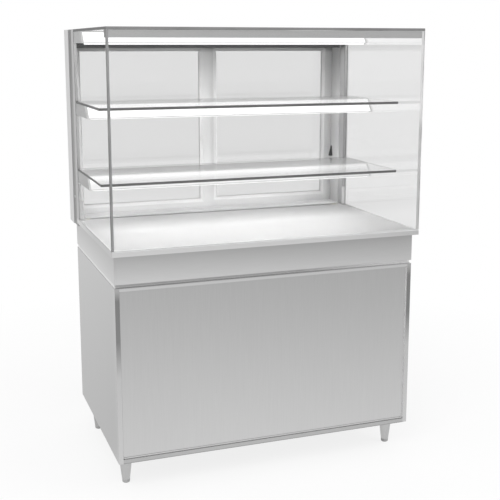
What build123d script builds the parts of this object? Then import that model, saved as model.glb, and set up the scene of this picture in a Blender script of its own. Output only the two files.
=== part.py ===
# Refrigerated display case: stainless base cabinet, insulated tank, glass tower with two
# glass shelves on lit beams, and a pair of sliding rear doors.
# Millimetres. +Z up, -Y is the customer's side, origin on the floor under the case's centre.
from build123d import *
from math import atan, cos, degrees, radians, sin
import os

os.makedirs("parts", exist_ok=True)

# Overall size
case_width = 1000
case_depth = 720
case_height = 1394
half_width = case_width / 2
front = -case_depth / 2
rear = case_depth / 2

# Heights
leg_height = 96
panel_top_z = 641
cabinet_top_z = 643
tank_bottom_z = 654
sill_bottom_z = 730
deck_z = 758
deck_lip = 16
track_floor_z = 750
sill_top_z = 760
rail_bottom_z = 1333
top_glass_z = 1386

# Depths, measured back from the front glass
cabinet_front = front + 24
cabinet_rear = front + 652
side_glass_rear = front + 537
post_rear = front + 577
strip_rear = front + 640
shelf_front = front + 144
shelf_rear = front + 530

# Sheet, glass and profile thicknesses
sheet = 2
thin_sheet = 1.5
glass = 8
bracket_thickness = 6
post_width = 17
jamb_wall = 3
profile_wall = 2
side_inset = 10
panel_return = 14
return_depth = 14

cabinet_half = half_width - side_inset
glass_inner = half_width - glass
shelf_half = glass_inner - 1
beam_half = glass_inner - bracket_thickness
strip_outer = half_width - jamb_wall
strip_inner = half_width - 20

# Legs: cones with a screw flange, set in from the corners
leg_x = 453
leg_spots = [(x, y) for x in (-leg_x, leg_x) for y in (front + 104, front + 551)]
leg_tip_z = 11
leg_tip_radius = 12.5
leg_top_radius = 22
flange_radius = 31
flange_thickness = 4
leg_cone = leg_height - flange_thickness - leg_tip_z

with BuildPart() as legs:
    with BuildSketch(Plane.XY.offset(leg_tip_z)):
        with Locations(*leg_spots):
            Circle(leg_tip_radius)
    extrude(amount=leg_cone, taper=-degrees(atan((leg_top_radius - leg_tip_radius) / leg_cone)))
    with BuildSketch(Plane.XY.offset(leg_height - flange_thickness)):
        with Locations(*leg_spots):
            Circle(flange_radius)
    extrude(amount=flange_thickness)
legs.part.label = "legs"
export_step(legs.part, "parts/legs.step")

# Levelling feet: the tips of the legs, which carry the cone on to the floor
foot_radius = 11.5
foot_chamfer = 1.5
with BuildPart() as leg_feet:
    with BuildSketch():
        with Locations(*leg_spots):
            Circle(foot_radius)
    extrude(amount=leg_tip_z, taper=-degrees(atan((leg_tip_radius - foot_radius) / leg_tip_z)))
    chamfer(leg_feet.edges().group_by(Axis.Z)[0], foot_chamfer)
leg_feet.part.label = "leg_feet"
export_step(leg_feet.part, "parts/leg_feet.step")

# Base tray: a folded pan whose front lip, folded back at its head, is the strip under the panel
tray_half = cabinet_half - sheet
tray_rear = cabinet_rear - 2 * sheet
tray_floor_z = leg_height + sheet
tray_flange = 14
front_lip = 13
lip_half = cabinet_half - panel_return
flange_front = cabinet_front + 60

with BuildPart() as base_tray:
    with BuildSketch(Plane.XY.offset(leg_height)):
        with Locations((0, (cabinet_front + sheet + tray_rear) / 2)):
            Rectangle(2 * tray_half, tray_rear - cabinet_front - sheet)
    extrude(amount=sheet)
    with BuildSketch(Plane.XY.offset(leg_height)):
        with Locations((0, cabinet_front + sheet / 2)):
            Rectangle(2 * lip_half, sheet)
    extrude(amount=front_lip)
    with BuildSketch(Plane.XY.offset(leg_height + front_lip - sheet)):
        with Locations((0, cabinet_front + return_depth / 2)):
            Rectangle(2 * lip_half, return_depth)
    extrude(amount=sheet)
    with BuildSketch(Plane.XY.offset(leg_height)):
        for side in (-1, 1):
            with Locations((side * (tray_half - sheet / 2), (flange_front + tray_rear) / 2)):
                Rectangle(sheet, tray_rear - flange_front)
        with Locations((0, tray_rear - sheet / 2)):
            Rectangle(2 * tray_half, sheet)
    extrude(amount=tray_flange)
base_tray.part.label = "base_tray"
export_step(base_tray.part, "parts/base_tray.step")

# Side panels: one folded sheet each. The front edge returns inwards and then back, so that
# the front panel sits in a rebate; the rear edge has a plain return
rear_return = 20
panel_rear = cabinet_rear - sheet
corner_break = 0.8

with BuildPart() as side_panel_left:
    with BuildSketch(Plane.XY.offset(leg_height)):
        with Locations((-cabinet_half + sheet / 2, (cabinet_front + panel_rear) / 2)):
            Rectangle(sheet, panel_rear - cabinet_front)
        with Locations((-cabinet_half + panel_return / 2, cabinet_front + sheet / 2)):
            Rectangle(panel_return, sheet)
        with Locations((-cabinet_half + rear_return / 2, panel_rear - sheet / 2)):
            Rectangle(rear_return, sheet)
    extrude(amount=panel_top_z - leg_height)
    with BuildSketch(Plane.XY.offset(tray_floor_z)):
        with Locations((-lip_half - sheet / 2, cabinet_front + return_depth / 2)):
            Rectangle(sheet, return_depth)
    extrude(amount=panel_top_z - sheet - tray_floor_z)
    front_corner = side_panel_left.edges().filter_by(Axis.Z).group_by(Axis.Y)[0].sort_by(Axis.X)[0]
    fillet(front_corner, corner_break)
    with BuildSketch(Plane.YZ.offset(-cabinet_half + sheet)):
        with Locations((panel_rear - sheet, leg_height)):
            Rectangle(sheet, tray_flange, align=(Align.MIN, Align.MIN))
    extrude(amount=rear_return, mode=Mode.SUBTRACT)
side_panel_left.part.label = "side_panel_left"
export_step(side_panel_left.part, "parts/side_panel_left.step")

side_panel_right = mirror(side_panel_left.part, about=Plane.YZ)
side_panel_right.label = "side_panel_right"
export_step(side_panel_right, "parts/side_panel_right.step")

# Upper front rail: a Z-fold that carries the head of the front panel
rail_lip = 8
rail_depth = 22
rail_drop = 43

with BuildPart() as upper_rail:
    with BuildSketch(Plane.XZ.offset(-cabinet_front)):
        with Locations((0, panel_top_z - rail_lip / 2)):
            Rectangle(2 * lip_half, rail_lip)
    extrude(amount=-sheet)
    with BuildSketch(Plane.XY.offset(panel_top_z - sheet)):
        with Locations((0, cabinet_front + (sheet + rail_depth) / 2)):
            Rectangle(2 * tray_half, rail_depth - sheet)
    extrude(amount=sheet)
    with BuildSketch(Plane.XZ.offset(-cabinet_front - rail_depth + sheet)):
        with Locations((0, panel_top_z - rail_drop / 2)):
            Rectangle(2 * tray_half, rail_drop)
    extrude(amount=-sheet)
upper_rail.part.label = "upper_rail"
export_step(upper_rail.part, "parts/upper_rail.step")

# Lower front rail: a rounded tube on the tray, behind the foot of the front panel
panel_back = cabinet_front + rail_depth - sheet
lower_rail_height = 42
lower_rail_depth = 20
lower_rail_round = 4

with BuildPart() as lower_rail:
    with BuildSketch(Plane.YZ.offset(-tray_half)):
        with Locations((panel_back + lower_rail_depth / 2, tray_floor_z + lower_rail_height / 2)):
            RectangleRounded(lower_rail_depth, lower_rail_height, lower_rail_round)
            RectangleRounded(lower_rail_depth - 2 * sheet, lower_rail_height - 2 * sheet,
                             lower_rail_round - sheet, mode=Mode.SUBTRACT)
    extrude(amount=2 * tray_half)
lower_rail.part.label = "lower_rail"
export_step(lower_rail.part, "parts/lower_rail.step")

# Front panel: a shallow folded box, set back in the frame, its head behind the rail's lip
panel_half = 475
panel_bottom_z = 113
panel_head_z = 637
panel_face = cabinet_front + 6
panel_round = 2

with BuildPart() as front_panel:
    with BuildSketch(Plane.XZ.offset(-panel_face)):
        with Locations((0, (panel_bottom_z + panel_head_z) / 2)):
            Rectangle(2 * panel_half, panel_head_z - panel_bottom_z)
    extrude(amount=-(panel_back - panel_face))
    fillet(front_panel.edges().group_by(Axis.Y)[0], panel_round)
    offset(amount=-thin_sheet, openings=front_panel.faces().sort_by(Axis.Y)[-1])
front_panel.part.label = "front_panel"
export_step(front_panel.part, "parts/front_panel.step")

# Rear panel: pressed louvres behind the condenser, a window for the controls, a gland hole
louvre_width = 84
louvre_gap = 16
louvre_rise = 8
louvre_pitch = 22
louvre_reach = 7
louvre_rows = 10
louvre_columns = 3
louvre_centre = (300, 238)
control_centre = (-340, 540)
control_window = (150, 64)
gland_spot = (-420, 170)
gland_bore = 8
rear_panel_bottom = leg_height + tray_flange + 2

with BuildPart() as rear_panel:
    with BuildSketch(Plane.XZ.offset(-panel_rear)):
        with Locations((0, (rear_panel_bottom + panel_top_z) / 2)):
            Rectangle(2 * cabinet_half - 2, panel_top_z - rear_panel_bottom)
        with Locations(control_centre):
            Rectangle(*control_window, mode=Mode.SUBTRACT)
        with Locations(gland_spot):
            Circle(gland_bore, mode=Mode.SUBTRACT)
        with Locations(louvre_centre):
            with GridLocations(louvre_width + louvre_gap, louvre_pitch, louvre_columns, louvre_rows):
                Rectangle(louvre_width, louvre_rise, align=(Align.CENTER, Align.MIN),
                          mode=Mode.SUBTRACT)
    extrude(amount=-sheet)
    for column in range(louvre_columns):
        louvre_x = louvre_centre[0] + (column - (louvre_columns - 1) / 2) * (louvre_width + louvre_gap)
        with BuildSketch(Plane.YZ.offset(louvre_x - louvre_width / 2)):
            for row in range(louvre_rows):
                slot_top = louvre_centre[1] + (row - (louvre_rows - 1) / 2) * louvre_pitch + louvre_rise
                with BuildLine():
                    Polyline((panel_rear, slot_top), (cabinet_rear + louvre_reach, slot_top - 9),
                             (cabinet_rear + louvre_reach, slot_top - 7),
                             (panel_rear, slot_top + 2), close=True)
                make_face()
        extrude(amount=louvre_width)
rear_panel.part.label = "rear_panel"
export_step(rear_panel.part, "parts/rear_panel.step")

# Passages for the drain and the two refrigerant pipes, from the cabinet into the tank
drain_spot = (-60, 60)
drain_radius = 12
pipe_spots = [(-400, -120), (-360, -60)]
pipe_radius = 5
passage_radius = 9
tank_centre_y = (cabinet_front + cabinet_rear) / 2

with BuildPart() as cabinet_top:
    with BuildSketch(Plane.XY.offset(panel_top_z)):
        with Locations((0, tank_centre_y)):
            Rectangle(2 * cabinet_half, cabinet_rear - cabinet_front)
        with Locations(drain_spot):
            Circle(drain_radius, mode=Mode.SUBTRACT)
        with Locations(*pipe_spots):
            Circle(passage_radius, mode=Mode.SUBTRACT)
    extrude(amount=cabinet_top_z - panel_top_z)
cabinet_top.part.label = "cabinet_top"
export_step(cabinet_top.part, "parts/cabinet_top.step")

# Spacer board: the band between cabinet and tank, recessed at the front and the rear
neck_inset = 11
neck_side_inset = 1.5
with BuildPart() as spacer_board:
    with BuildSketch(Plane.XY.offset(cabinet_top_z)):
        with Locations((0, tank_centre_y)):
            Rectangle(2 * (cabinet_half - neck_side_inset), cabinet_rear - cabinet_front - 2 * neck_inset)
        with Locations(drain_spot):
            Circle(drain_radius, mode=Mode.SUBTRACT)
        with Locations(*pipe_spots):
            Circle(passage_radius, mode=Mode.SUBTRACT)
    extrude(amount=tank_bottom_z - cabinet_top_z)
spacer_board.part.label = "spacer_board"
export_step(spacer_board.part, "parts/spacer_board.step")

# Tank: outer skin, foam and liner, stepped down at the rear to take the door sill
tank_top_z = deck_z - sheet
liner_half = 452
liner_front = cabinet_front + 36
liner_rear = front + 562
liner_floor_z = 690
liner_centre = (0, (liner_front + liner_rear) / 2)
liner_size = (2 * liner_half, liner_rear - liner_front)


def stepped_outline(inset, bottom):
    """Side outline of the tank drawn in by inset; its top stays at the deck."""
    Polyline((cabinet_front + inset, bottom), (cabinet_rear - inset, bottom),
             (cabinet_rear - inset, sill_bottom_z - inset), (post_rear - inset, sill_bottom_z - inset),
             (post_rear - inset, tank_top_z), (cabinet_front + inset, tank_top_z), close=True)


with BuildPart() as tank_skin:
    with BuildSketch(Plane.YZ.offset(-cabinet_half)):
        with BuildLine():
            stepped_outline(0, tank_bottom_z)
        make_face()
    extrude(amount=2 * cabinet_half)
    with BuildSketch(Plane.YZ.offset(-cabinet_half + sheet)):
        with BuildLine():
            stepped_outline(sheet, tank_bottom_z + sheet)
        make_face()
    extrude(amount=2 * (cabinet_half - sheet), mode=Mode.SUBTRACT)
    with BuildSketch(Plane.XY.offset(tank_bottom_z)):
        with Locations(drain_spot):
            Circle(drain_radius)
        with Locations(*pipe_spots):
            Circle(passage_radius)
    extrude(amount=sheet, mode=Mode.SUBTRACT)
tank_skin.part.label = "tank_skin"
export_step(tank_skin.part, "parts/tank_skin.step")

with BuildPart() as tank_foam:
    with BuildSketch(Plane.YZ.offset(-cabinet_half + sheet)):
        with BuildLine():
            stepped_outline(sheet, tank_bottom_z + sheet)
        make_face()
    extrude(amount=2 * (cabinet_half - sheet))
    with BuildSketch(Plane.XY.offset(liner_floor_z)):
        with Locations(liner_centre):
            Rectangle(*liner_size)
    extrude(amount=tank_top_z - liner_floor_z, mode=Mode.SUBTRACT)
    with BuildSketch(Plane.XY.offset(tank_bottom_z)):
        with Locations(drain_spot):
            Circle(drain_radius)
        with Locations(*pipe_spots):
            Circle(passage_radius)
    extrude(amount=liner_floor_z - tank_bottom_z, mode=Mode.SUBTRACT)
tank_foam.part.label = "tank_foam"
export_step(tank_foam.part, "parts/tank_foam.step")

with BuildPart() as tank_liner:
    with BuildSketch(Plane.XY.offset(liner_floor_z)):
        with Locations(liner_centre):
            Rectangle(*liner_size)
    extrude(amount=tank_top_z - liner_floor_z)
    offset(amount=-thin_sheet, openings=tank_liner.faces().sort_by(Axis.Z)[-1])
    with BuildSketch(Plane.XY.offset(liner_floor_z)):
        with Locations(drain_spot):
            Circle(drain_radius)
        with Locations(*pipe_spots):
            Circle(passage_radius)
    extrude(amount=thin_sheet, mode=Mode.SUBTRACT)
tank_liner.part.label = "tank_liner"
export_step(tank_liner.part, "parts/tank_liner.step")

# Drain: a flanged pipe from the liner down into the condensate tray
liner_inner_z = liner_floor_z + thin_sheet
drain_wall = 2
drain_flange = 20
drain_end_z = 125
with BuildPart() as drain_pipe:
    with BuildSketch(Plane.XY.offset(drain_end_z)):
        with Locations(drain_spot):
            Circle(drain_radius)
    extrude(amount=liner_inner_z - drain_end_z)
    with BuildSketch(Plane.XY.offset(liner_inner_z)):
        with Locations(drain_spot):
            Circle(drain_flange)
    extrude(amount=sheet)
    with BuildSketch(Plane.XY.offset(drain_end_z)):
        with Locations(drain_spot):
            Circle(drain_radius - drain_wall)
    extrude(amount=liner_inner_z + sheet - drain_end_z, mode=Mode.SUBTRACT)
drain_pipe.part.label = "drain_pipe"
export_step(drain_pipe.part, "parts/drain_pipe.step")

# Condensate tray: a drawn dish with flared sides, on the base tray under the drain
dish_size = (200, 160)
dish_round = 18
dish_height = 42
dish_flare = -6
with BuildPart() as condensate_tray:
    with BuildSketch(Plane.XY.offset(tray_floor_z)):
        with Locations(drain_spot):
            RectangleRounded(*dish_size, dish_round)
    extrude(amount=dish_height, taper=dish_flare)
    with BuildSketch(Plane.XY.offset(tray_floor_z + sheet)):
        with Locations(drain_spot):
            RectangleRounded(dish_size[0] - 2 * sheet, dish_size[1] - 2 * sheet, dish_round - sheet)
    extrude(amount=dish_height - sheet, taper=dish_flare, mode=Mode.SUBTRACT)
condensate_tray.part.label = "condensate_tray"
export_step(condensate_tray.part, "parts/condensate_tray.step")

# Deck: a folded sheet with its lips turned down, and an air slot along the rear
slot_half = 465
slot_front = front + 545
slot_rear = front + 559
deck_edge_round = 1.5
with BuildPart() as deck:
    with BuildSketch(Plane.XY.offset(deck_z - deck_lip)):
        with Locations((0, (front + post_rear) / 2)):
            Rectangle(case_width, post_rear - front)
    extrude(amount=deck_lip)
    fillet(deck.edges().group_by(Axis.Z)[-1].sort_by(Axis.Y)[0], deck_edge_round)
    with BuildSketch(Plane.XY.offset(deck_z - deck_lip)):
        with Locations((0, (front + sheet + post_rear) / 2)):
            Rectangle(case_width - 2 * sheet, post_rear - front - sheet)
    extrude(amount=deck_lip - sheet, mode=Mode.SUBTRACT)
    with BuildSketch(Plane.XY.offset(deck_z - sheet)):
        with Locations((0, (slot_front + slot_rear) / 2)):
            Rectangle(2 * slot_half, slot_rear - slot_front)
    extrude(amount=sheet, mode=Mode.SUBTRACT)
deck.part.label = "deck"
export_step(deck.part, "parts/deck.step")


# Finned coils: a comb of deep fins on a solid core of tubes, with return bends at both ends
def comb_outline(ends, sides, pitch, groove):
    """Fin comb seen edge on, between two ends and two sides, grooved from both sides."""
    near = []
    far = []
    for fin in range(int((ends[1] - ends[0]) / pitch)):
        start = ends[0] + fin * pitch
        half = start + pitch / 2
        stop = start + pitch
        near += [(start, sides[0]), (half, sides[0]), (half, sides[0] + groove), (stop, sides[0] + groove)]
        far += [(start, sides[1]), (half, sides[1]), (half, sides[1] - groove), (stop, sides[1] - groove)]
    Polyline(*near, *reversed(far), close=True)


coil_tube = 5
bend_radius = 18
fin_pitch = 15
end_plate = 2

# Evaporator: lies in the tank on its two end plates
evaporator_half = 300
evaporator_depth = 190
evaporator_y = -90
evaporator_z = (700, 740)
evaporator_mid_z = sum(evaporator_z) / 2
evaporator_groove = 13
plate_top_z = 744

with BuildPart() as evaporator:
    with BuildSketch(Plane.XZ.offset(-(evaporator_y + evaporator_depth / 2))):
        with BuildLine():
            comb_outline((-evaporator_half, evaporator_half), evaporator_z, fin_pitch, evaporator_groove)
        make_face()
    extrude(amount=evaporator_depth)
    for side in (-1, 1):
        with BuildSketch(Plane.YZ.offset(side * (evaporator_half + end_plate / 2) - end_plate / 2)):
            with Locations((evaporator_y, (liner_inner_z + plate_top_z) / 2)):
                Rectangle(evaporator_depth, plate_top_z - liner_inner_z)
        extrude(amount=end_plate)
        end_x = side * (evaporator_half + end_plate)
        for bend_y in (evaporator_y - 60, evaporator_y, evaporator_y + 60):
            with BuildSketch(Plane.YZ.offset(end_x)):
                with Locations((bend_y - bend_radius, evaporator_mid_z)):
                    Circle(coil_tube)
            revolve(axis=Axis((end_x, bend_y, 0), (0, 0, side)), revolution_arc=180)
evaporator.part.label = "evaporator"
export_step(evaporator.part, "parts/evaporator.step")

# Condenser: stands on the base tray behind the louvres
condenser_x = (150, 450)
condenser_z = (tray_floor_z, 378)
condenser_y = (225, 275)
condenser_mid = (sum(condenser_x) / 2, sum(condenser_y) / 2, sum(condenser_z) / 2)
condenser_groove = 16
condenser_plate_depth = 56

with BuildPart() as condenser:
    with BuildSketch(Plane.XY.offset(condenser_z[0])):
        with BuildLine():
            comb_outline(condenser_x, condenser_y, fin_pitch, condenser_groove)
        make_face()
    extrude(amount=condenser_z[1] - condenser_z[0])
    for side, end_x in ((-1, condenser_x[0]), (1, condenser_x[1])):
        with BuildSketch(Plane.YZ.offset(end_x)):
            with Locations((condenser_mid[1], condenser_mid[2])):
                Rectangle(condenser_plate_depth, condenser_z[1] - condenser_z[0])
        extrude(amount=side * end_plate)
        outer_x = end_x + side * end_plate
        for bend_z in (condenser_mid[2] - 70, condenser_mid[2], condenser_mid[2] + 70):
            with BuildSketch(Plane.YZ.offset(outer_x)):
                with Locations((condenser_mid[1], bend_z + bend_radius)):
                    Circle(coil_tube)
            revolve(axis=Axis((outer_x, condenser_mid[1], bend_z), (0, side, 0)), revolution_arc=180)
condenser.part.label = "condenser"
export_step(condenser.part, "parts/condenser.step")

# Fan shroud: a box on the condenser with an inlet ring and a three-armed motor spider
ring_radius = 116
ring_wall = 2
shroud_front = 200
shroud_rear = condenser_mid[1] - condenser_plate_depth / 2
ring_front = 186
spider_thickness = 3
spider_front = ring_front - spider_thickness
spider_arm = 12
motor_radius = 38
shaft_radius = 3
fan_centre = (condenser_mid[0], condenser_mid[2])

with BuildPart() as fan_shroud:
    with BuildSketch(Plane.XZ.offset(-shroud_front)):
        with Locations(fan_centre):
            Rectangle(condenser_x[1] - condenser_x[0], condenser_z[1] - condenser_z[0])
    extrude(amount=-(shroud_rear - shroud_front))
    offset(amount=-thin_sheet, openings=fan_shroud.faces().sort_by(Axis.Y)[-1])
    with BuildSketch(Plane.XZ.offset(-ring_front)):
        with Locations(fan_centre):
            Circle(ring_radius + ring_wall)
    extrude(amount=-(shroud_front - ring_front + thin_sheet))
    with BuildSketch(Plane.XZ.offset(-ring_front)):
        with Locations(fan_centre):
            Circle(ring_radius)
    extrude(amount=-(shroud_front - ring_front + thin_sheet), mode=Mode.SUBTRACT)
    with BuildSketch(Plane.XZ.offset(-spider_front)):
        with Locations(fan_centre):
            Circle(motor_radius)
            with PolarLocations(ring_radius / 2 + ring_wall / 2, 3, start_angle=90):
                Rectangle(ring_radius + ring_wall, spider_arm)
            Circle(shaft_radius + 2, mode=Mode.SUBTRACT)
    extrude(amount=-spider_thickness)
fan_shroud.part.label = "fan_shroud"
export_step(fan_shroud.part, "parts/fan_shroud.step")

# Fan motor: a turned housing with its shaft through the spider
motor_length = 52
shaft_length = 24
with BuildPart() as fan_motor:
    with BuildSketch(Plane.XZ.offset(-spider_front)):
        with Locations(fan_centre):
            Circle(motor_radius - 4)
    extrude(amount=motor_length)
    fillet(fan_motor.edges().group_by(Axis.Y)[0], 9)
    with BuildSketch(Plane.XZ.offset(-spider_front)):
        with Locations(fan_centre):
            Circle(shaft_radius)
    extrude(amount=-shaft_length)
fan_motor.part.label = "fan_motor"
export_step(fan_motor.part, "parts/fan_motor.step")


# Fan rotors: twisted blades lofted from the hub to the tip
def blade_plane(centre, spin_axis, angle, radius, pitch):
    """Section plane square to one blade's radius, its width turned by the pitch angle."""
    flat = (cos(radians(angle)), sin(radians(angle)))
    across = (-flat[1], flat[0])
    if spin_axis == "Y":
        outward = Vector(flat[0], 0, flat[1])
        tangent = Vector(across[0], 0, across[1])
        along = Vector(0, 1, 0)
    else:
        outward = Vector(flat[0], flat[1], 0)
        tangent = Vector(across[0], across[1], 0)
        along = Vector(0, 0, 1)
    chord = tangent * cos(radians(pitch)) + along * sin(radians(pitch))
    return Plane(origin=Vector(*centre) + outward * radius, x_dir=chord, z_dir=outward)


bore_clearance = 0.05
condenser_hub = 26
hub_front = 188
hub_length = 22
blade_middle = (fan_centre[0], hub_front + hub_length / 2, fan_centre[1])

with BuildPart() as condenser_fan:
    with BuildSketch(Plane.XZ.offset(-hub_front)):
        with Locations(fan_centre):
            Circle(condenser_hub)
    extrude(amount=-hub_length)
    for blade in range(5):
        with BuildSketch(blade_plane(blade_middle, "Y", 72 * blade, condenser_hub - 4, 32)):
            Rectangle(30, 2)
        with BuildSketch(blade_plane(blade_middle, "Y", 72 * blade + 8, 66, 24)):
            Rectangle(54, 2)
        with BuildSketch(blade_plane(blade_middle, "Y", 72 * blade + 18, ring_radius - 8, 17)):
            Rectangle(70, 1.6)
        loft()
    with BuildSketch(Plane.XZ.offset(-hub_front)):
        with Locations(fan_centre):
            Circle(shaft_radius + bore_clearance)
    extrude(amount=-hub_length, mode=Mode.SUBTRACT)
condenser_fan.part.label = "condenser_fan"
export_step(condenser_fan.part, "parts/condenser_fan.step")

# Evaporator fans: two square axial frames on corner feet, each with a stator and struts
fan_spots = [(-200, 95), (200, 95)]
frame_side = 119
frame_z = (698, 736)
duct_radius = 56
stator_radius = 20
stator_top_z = 703
strut_width = 5
pin_radius = 2
pin_top_z = 722
foot_side = 14

with BuildPart() as evaporator_fan_frames:
    with BuildSketch(Plane.XY.offset(frame_z[0])):
        with Locations(*fan_spots):
            RectangleRounded(frame_side, frame_side, 6)
            Circle(duct_radius, mode=Mode.SUBTRACT)
    extrude(amount=frame_z[1] - frame_z[0])
    with BuildSketch(Plane.XY.offset(frame_z[0])):
        with Locations(*fan_spots):
            Circle(stator_radius)
            with PolarLocations(duct_radius / 2, 4, start_angle=45):
                Rectangle(duct_radius + 2, strut_width)
    extrude(amount=stator_top_z - frame_z[0])
    with BuildSketch(Plane.XY.offset(stator_top_z)):
        with Locations(*fan_spots):
            Circle(pin_radius)
    extrude(amount=pin_top_z - stator_top_z)
    with BuildSketch(Plane.XY.offset(liner_inner_z)):
        with Locations(*fan_spots):
            with GridLocations(frame_side - foot_side, frame_side - foot_side, 2, 2):
                RectangleRounded(foot_side, foot_side, 5)
    extrude(amount=frame_z[0] - liner_inner_z)
evaporator_fan_frames.part.label = "evaporator_fan_frames"
export_step(evaporator_fan_frames.part, "parts/evaporator_fan_frames.step")

rotor_z = (704.5, 734)
rotor_hub = 20
rotor_tip = duct_radius - 3.5

with BuildPart() as evaporator_fan_left:
    rotor_middle = (*fan_spots[0], sum(rotor_z) / 2)
    with BuildSketch(Plane.XY.offset(rotor_z[0])):
        with Locations(fan_spots[0]):
            Circle(rotor_hub)
    extrude(amount=rotor_z[1] - rotor_z[0])
    fillet(evaporator_fan_left.edges().group_by(Axis.Z)[-1], 3)
    for blade in range(7):
        turn = 360 / 7 * blade
        with BuildSketch(blade_plane(rotor_middle, "Z", turn, rotor_hub - 3, 46)):
            Rectangle(22, 1.6)
        with BuildSketch(blade_plane(rotor_middle, "Z", turn + 14, rotor_tip, 30)):
            Rectangle(34, 1.6)
        loft()
    with BuildSketch(Plane.XY.offset(rotor_z[0])):
        with Locations(fan_spots[0]):
            Circle(pin_radius + bore_clearance)
    extrude(amount=pin_top_z + 1 - rotor_z[0], mode=Mode.SUBTRACT)
evaporator_fan_left.part.label = "evaporator_fan_left"
export_step(evaporator_fan_left.part, "parts/evaporator_fan_left.step")

evaporator_fan_right = evaporator_fan_left.part.moved(Location((fan_spots[1][0] - fan_spots[0][0], 0, 0)))
evaporator_fan_right.label = "evaporator_fan_right"
export_step(evaporator_fan_right, "parts/evaporator_fan_right.step")

# Compressor: a drawn two-part shell on a footed plate with rubber grommets
shell_centre = (300, -60)
shell_radius = 76
foot_height = 14
shell_bottom_z = tray_floor_z + foot_height + 3
seam_z = 205
shell_top_z = 292
stub_top_z = 320
stub_radius = 7
stub_offset = 35

with BuildPart() as compressor:
    with BuildSketch(Plane.XY.offset(shell_bottom_z)):
        with Locations(shell_centre):
            Circle(shell_radius)
    extrude(amount=shell_top_z - shell_bottom_z)
    fillet(compressor.edges().group_by(Axis.Z)[-1], 42)
    with BuildSketch(Plane.XY.offset(seam_z)):
        with Locations(shell_centre):
            Circle(shell_radius + 4)
    extrude(amount=5)
    with BuildSketch(Plane.XY.offset(tray_floor_z + foot_height)):
        with Locations(shell_centre):
            RectangleRounded(200, 150, 20)
    extrude(amount=3)
    with BuildSketch(Plane.XY.offset(tray_floor_z)):
        with Locations(shell_centre):
            with GridLocations(160, 110, 2, 2):
                Circle(12)
    extrude(amount=foot_height)
    with BuildSketch(Plane.XY.offset(seam_z + 20)):
        with Locations((shell_centre[0] - stub_offset, shell_centre[1]),
                       (shell_centre[0] + stub_offset, shell_centre[1])):
            Circle(stub_radius)
    extrude(amount=stub_top_z - seam_z - 20)
compressor.part.label = "compressor"
export_step(compressor.part, "parts/compressor.step")

# Refrigerant lines: bent pipes from stub to stub, all bends of one radius
pipe_bend = 16
stub_left = shell_centre[0] - stub_offset
stub_right = shell_centre[0] + stub_offset
coil_face_x = -evaporator_half - end_plate
condenser_face_x = condenser_x[0] - end_plate
pipe_y = condenser_mid[1]
routes = [
    [(stub_left, shell_centre[1], stub_top_z), (stub_left, shell_centre[1], 410),
     (100, shell_centre[1], 410), (100, pipe_y, 410), (100, pipe_y, 350), (condenser_face_x, pipe_y, 350)],
    [(condenser_face_x, pipe_y, 126), (pipe_spots[0][0], pipe_y, 126), (*pipe_spots[0], 126),
     (*pipe_spots[0], 712), (coil_face_x, pipe_spots[0][1], 712)],
    [(stub_right, shell_centre[1], stub_top_z), (stub_right, shell_centre[1], 450),
     (*pipe_spots[1], 450), (*pipe_spots[1], 720), (coil_face_x, pipe_spots[1][1], 720)],
]

with BuildPart() as refrigerant_lines:
    for route in routes:
        with BuildLine():
            FilletPolyline(*route, radius=pipe_bend)
        with BuildSketch(Plane(origin=route[0], z_dir=Vector(*route[1]) - Vector(*route[0]))):
            Circle(pipe_radius)
        sweep()
refrigerant_lines.part.label = "refrigerant_lines"
export_step(refrigerant_lines.part, "parts/refrigerant_lines.step")

# Cable gland: a hexagon and a domed nut on the rear panel, with an open bore
gland_reach = 16
with BuildPart() as cable_gland:
    with BuildSketch(Plane.XZ.offset(-cabinet_rear)):
        with Locations(gland_spot):
            RegularPolygon(14, 6)
    extrude(amount=-6)
    with BuildSketch(Plane.XZ.offset(-cabinet_rear - 6)):
        with Locations(gland_spot):
            Circle(11)
    extrude(amount=-gland_reach)
    fillet(cable_gland.edges().group_by(Axis.Y)[-1], 4)
    with BuildSketch(Plane.XZ.offset(-panel_rear)):
        with Locations(gland_spot):
            Circle(gland_bore)
    extrude(amount=-sheet)
    with BuildSketch(Plane.XZ.offset(-panel_rear)):
        with Locations(gland_spot):
            Circle(4)
    extrude(amount=-sheet - gland_reach - 6, mode=Mode.SUBTRACT)
cable_gland.part.label = "cable_gland"
export_step(cable_gland.part, "parts/cable_gland.step")

# Control plate over the window, with the thermostat bushing and two rocker openings
plate_size = (176, 84)
plate_outer = cabinet_rear + sheet
knob_spot = (control_centre[0] - 45, control_centre[1])
rocker_spots = [(control_centre[0] + 15, control_centre[1]), (control_centre[0] + 55, control_centre[1])]
spindle_radius = 3
rocker_opening = (14, 26)

with BuildPart() as control_plate:
    with BuildSketch(Plane.XZ.offset(-cabinet_rear)):
        with Locations(control_centre):
            RectangleRounded(*plate_size, 5)
        with Locations(knob_spot):
            Circle(spindle_radius + 1, mode=Mode.SUBTRACT)
        with Locations(*rocker_spots):
            Rectangle(rocker_opening[0] + 4, rocker_opening[1] + 4, mode=Mode.SUBTRACT)
    extrude(amount=-sheet)
control_plate.part.label = "control_plate"
export_step(control_plate.part, "parts/control_plate.step")

# Switch housings: thermostat body with its spindle, and two rocker housings with a bezel
housing_depth = 24
barrel_depth = 18
bezel_face = plate_outer + 2
pivot_y = bezel_face - 4
pivot_radius = 1.2

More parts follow.
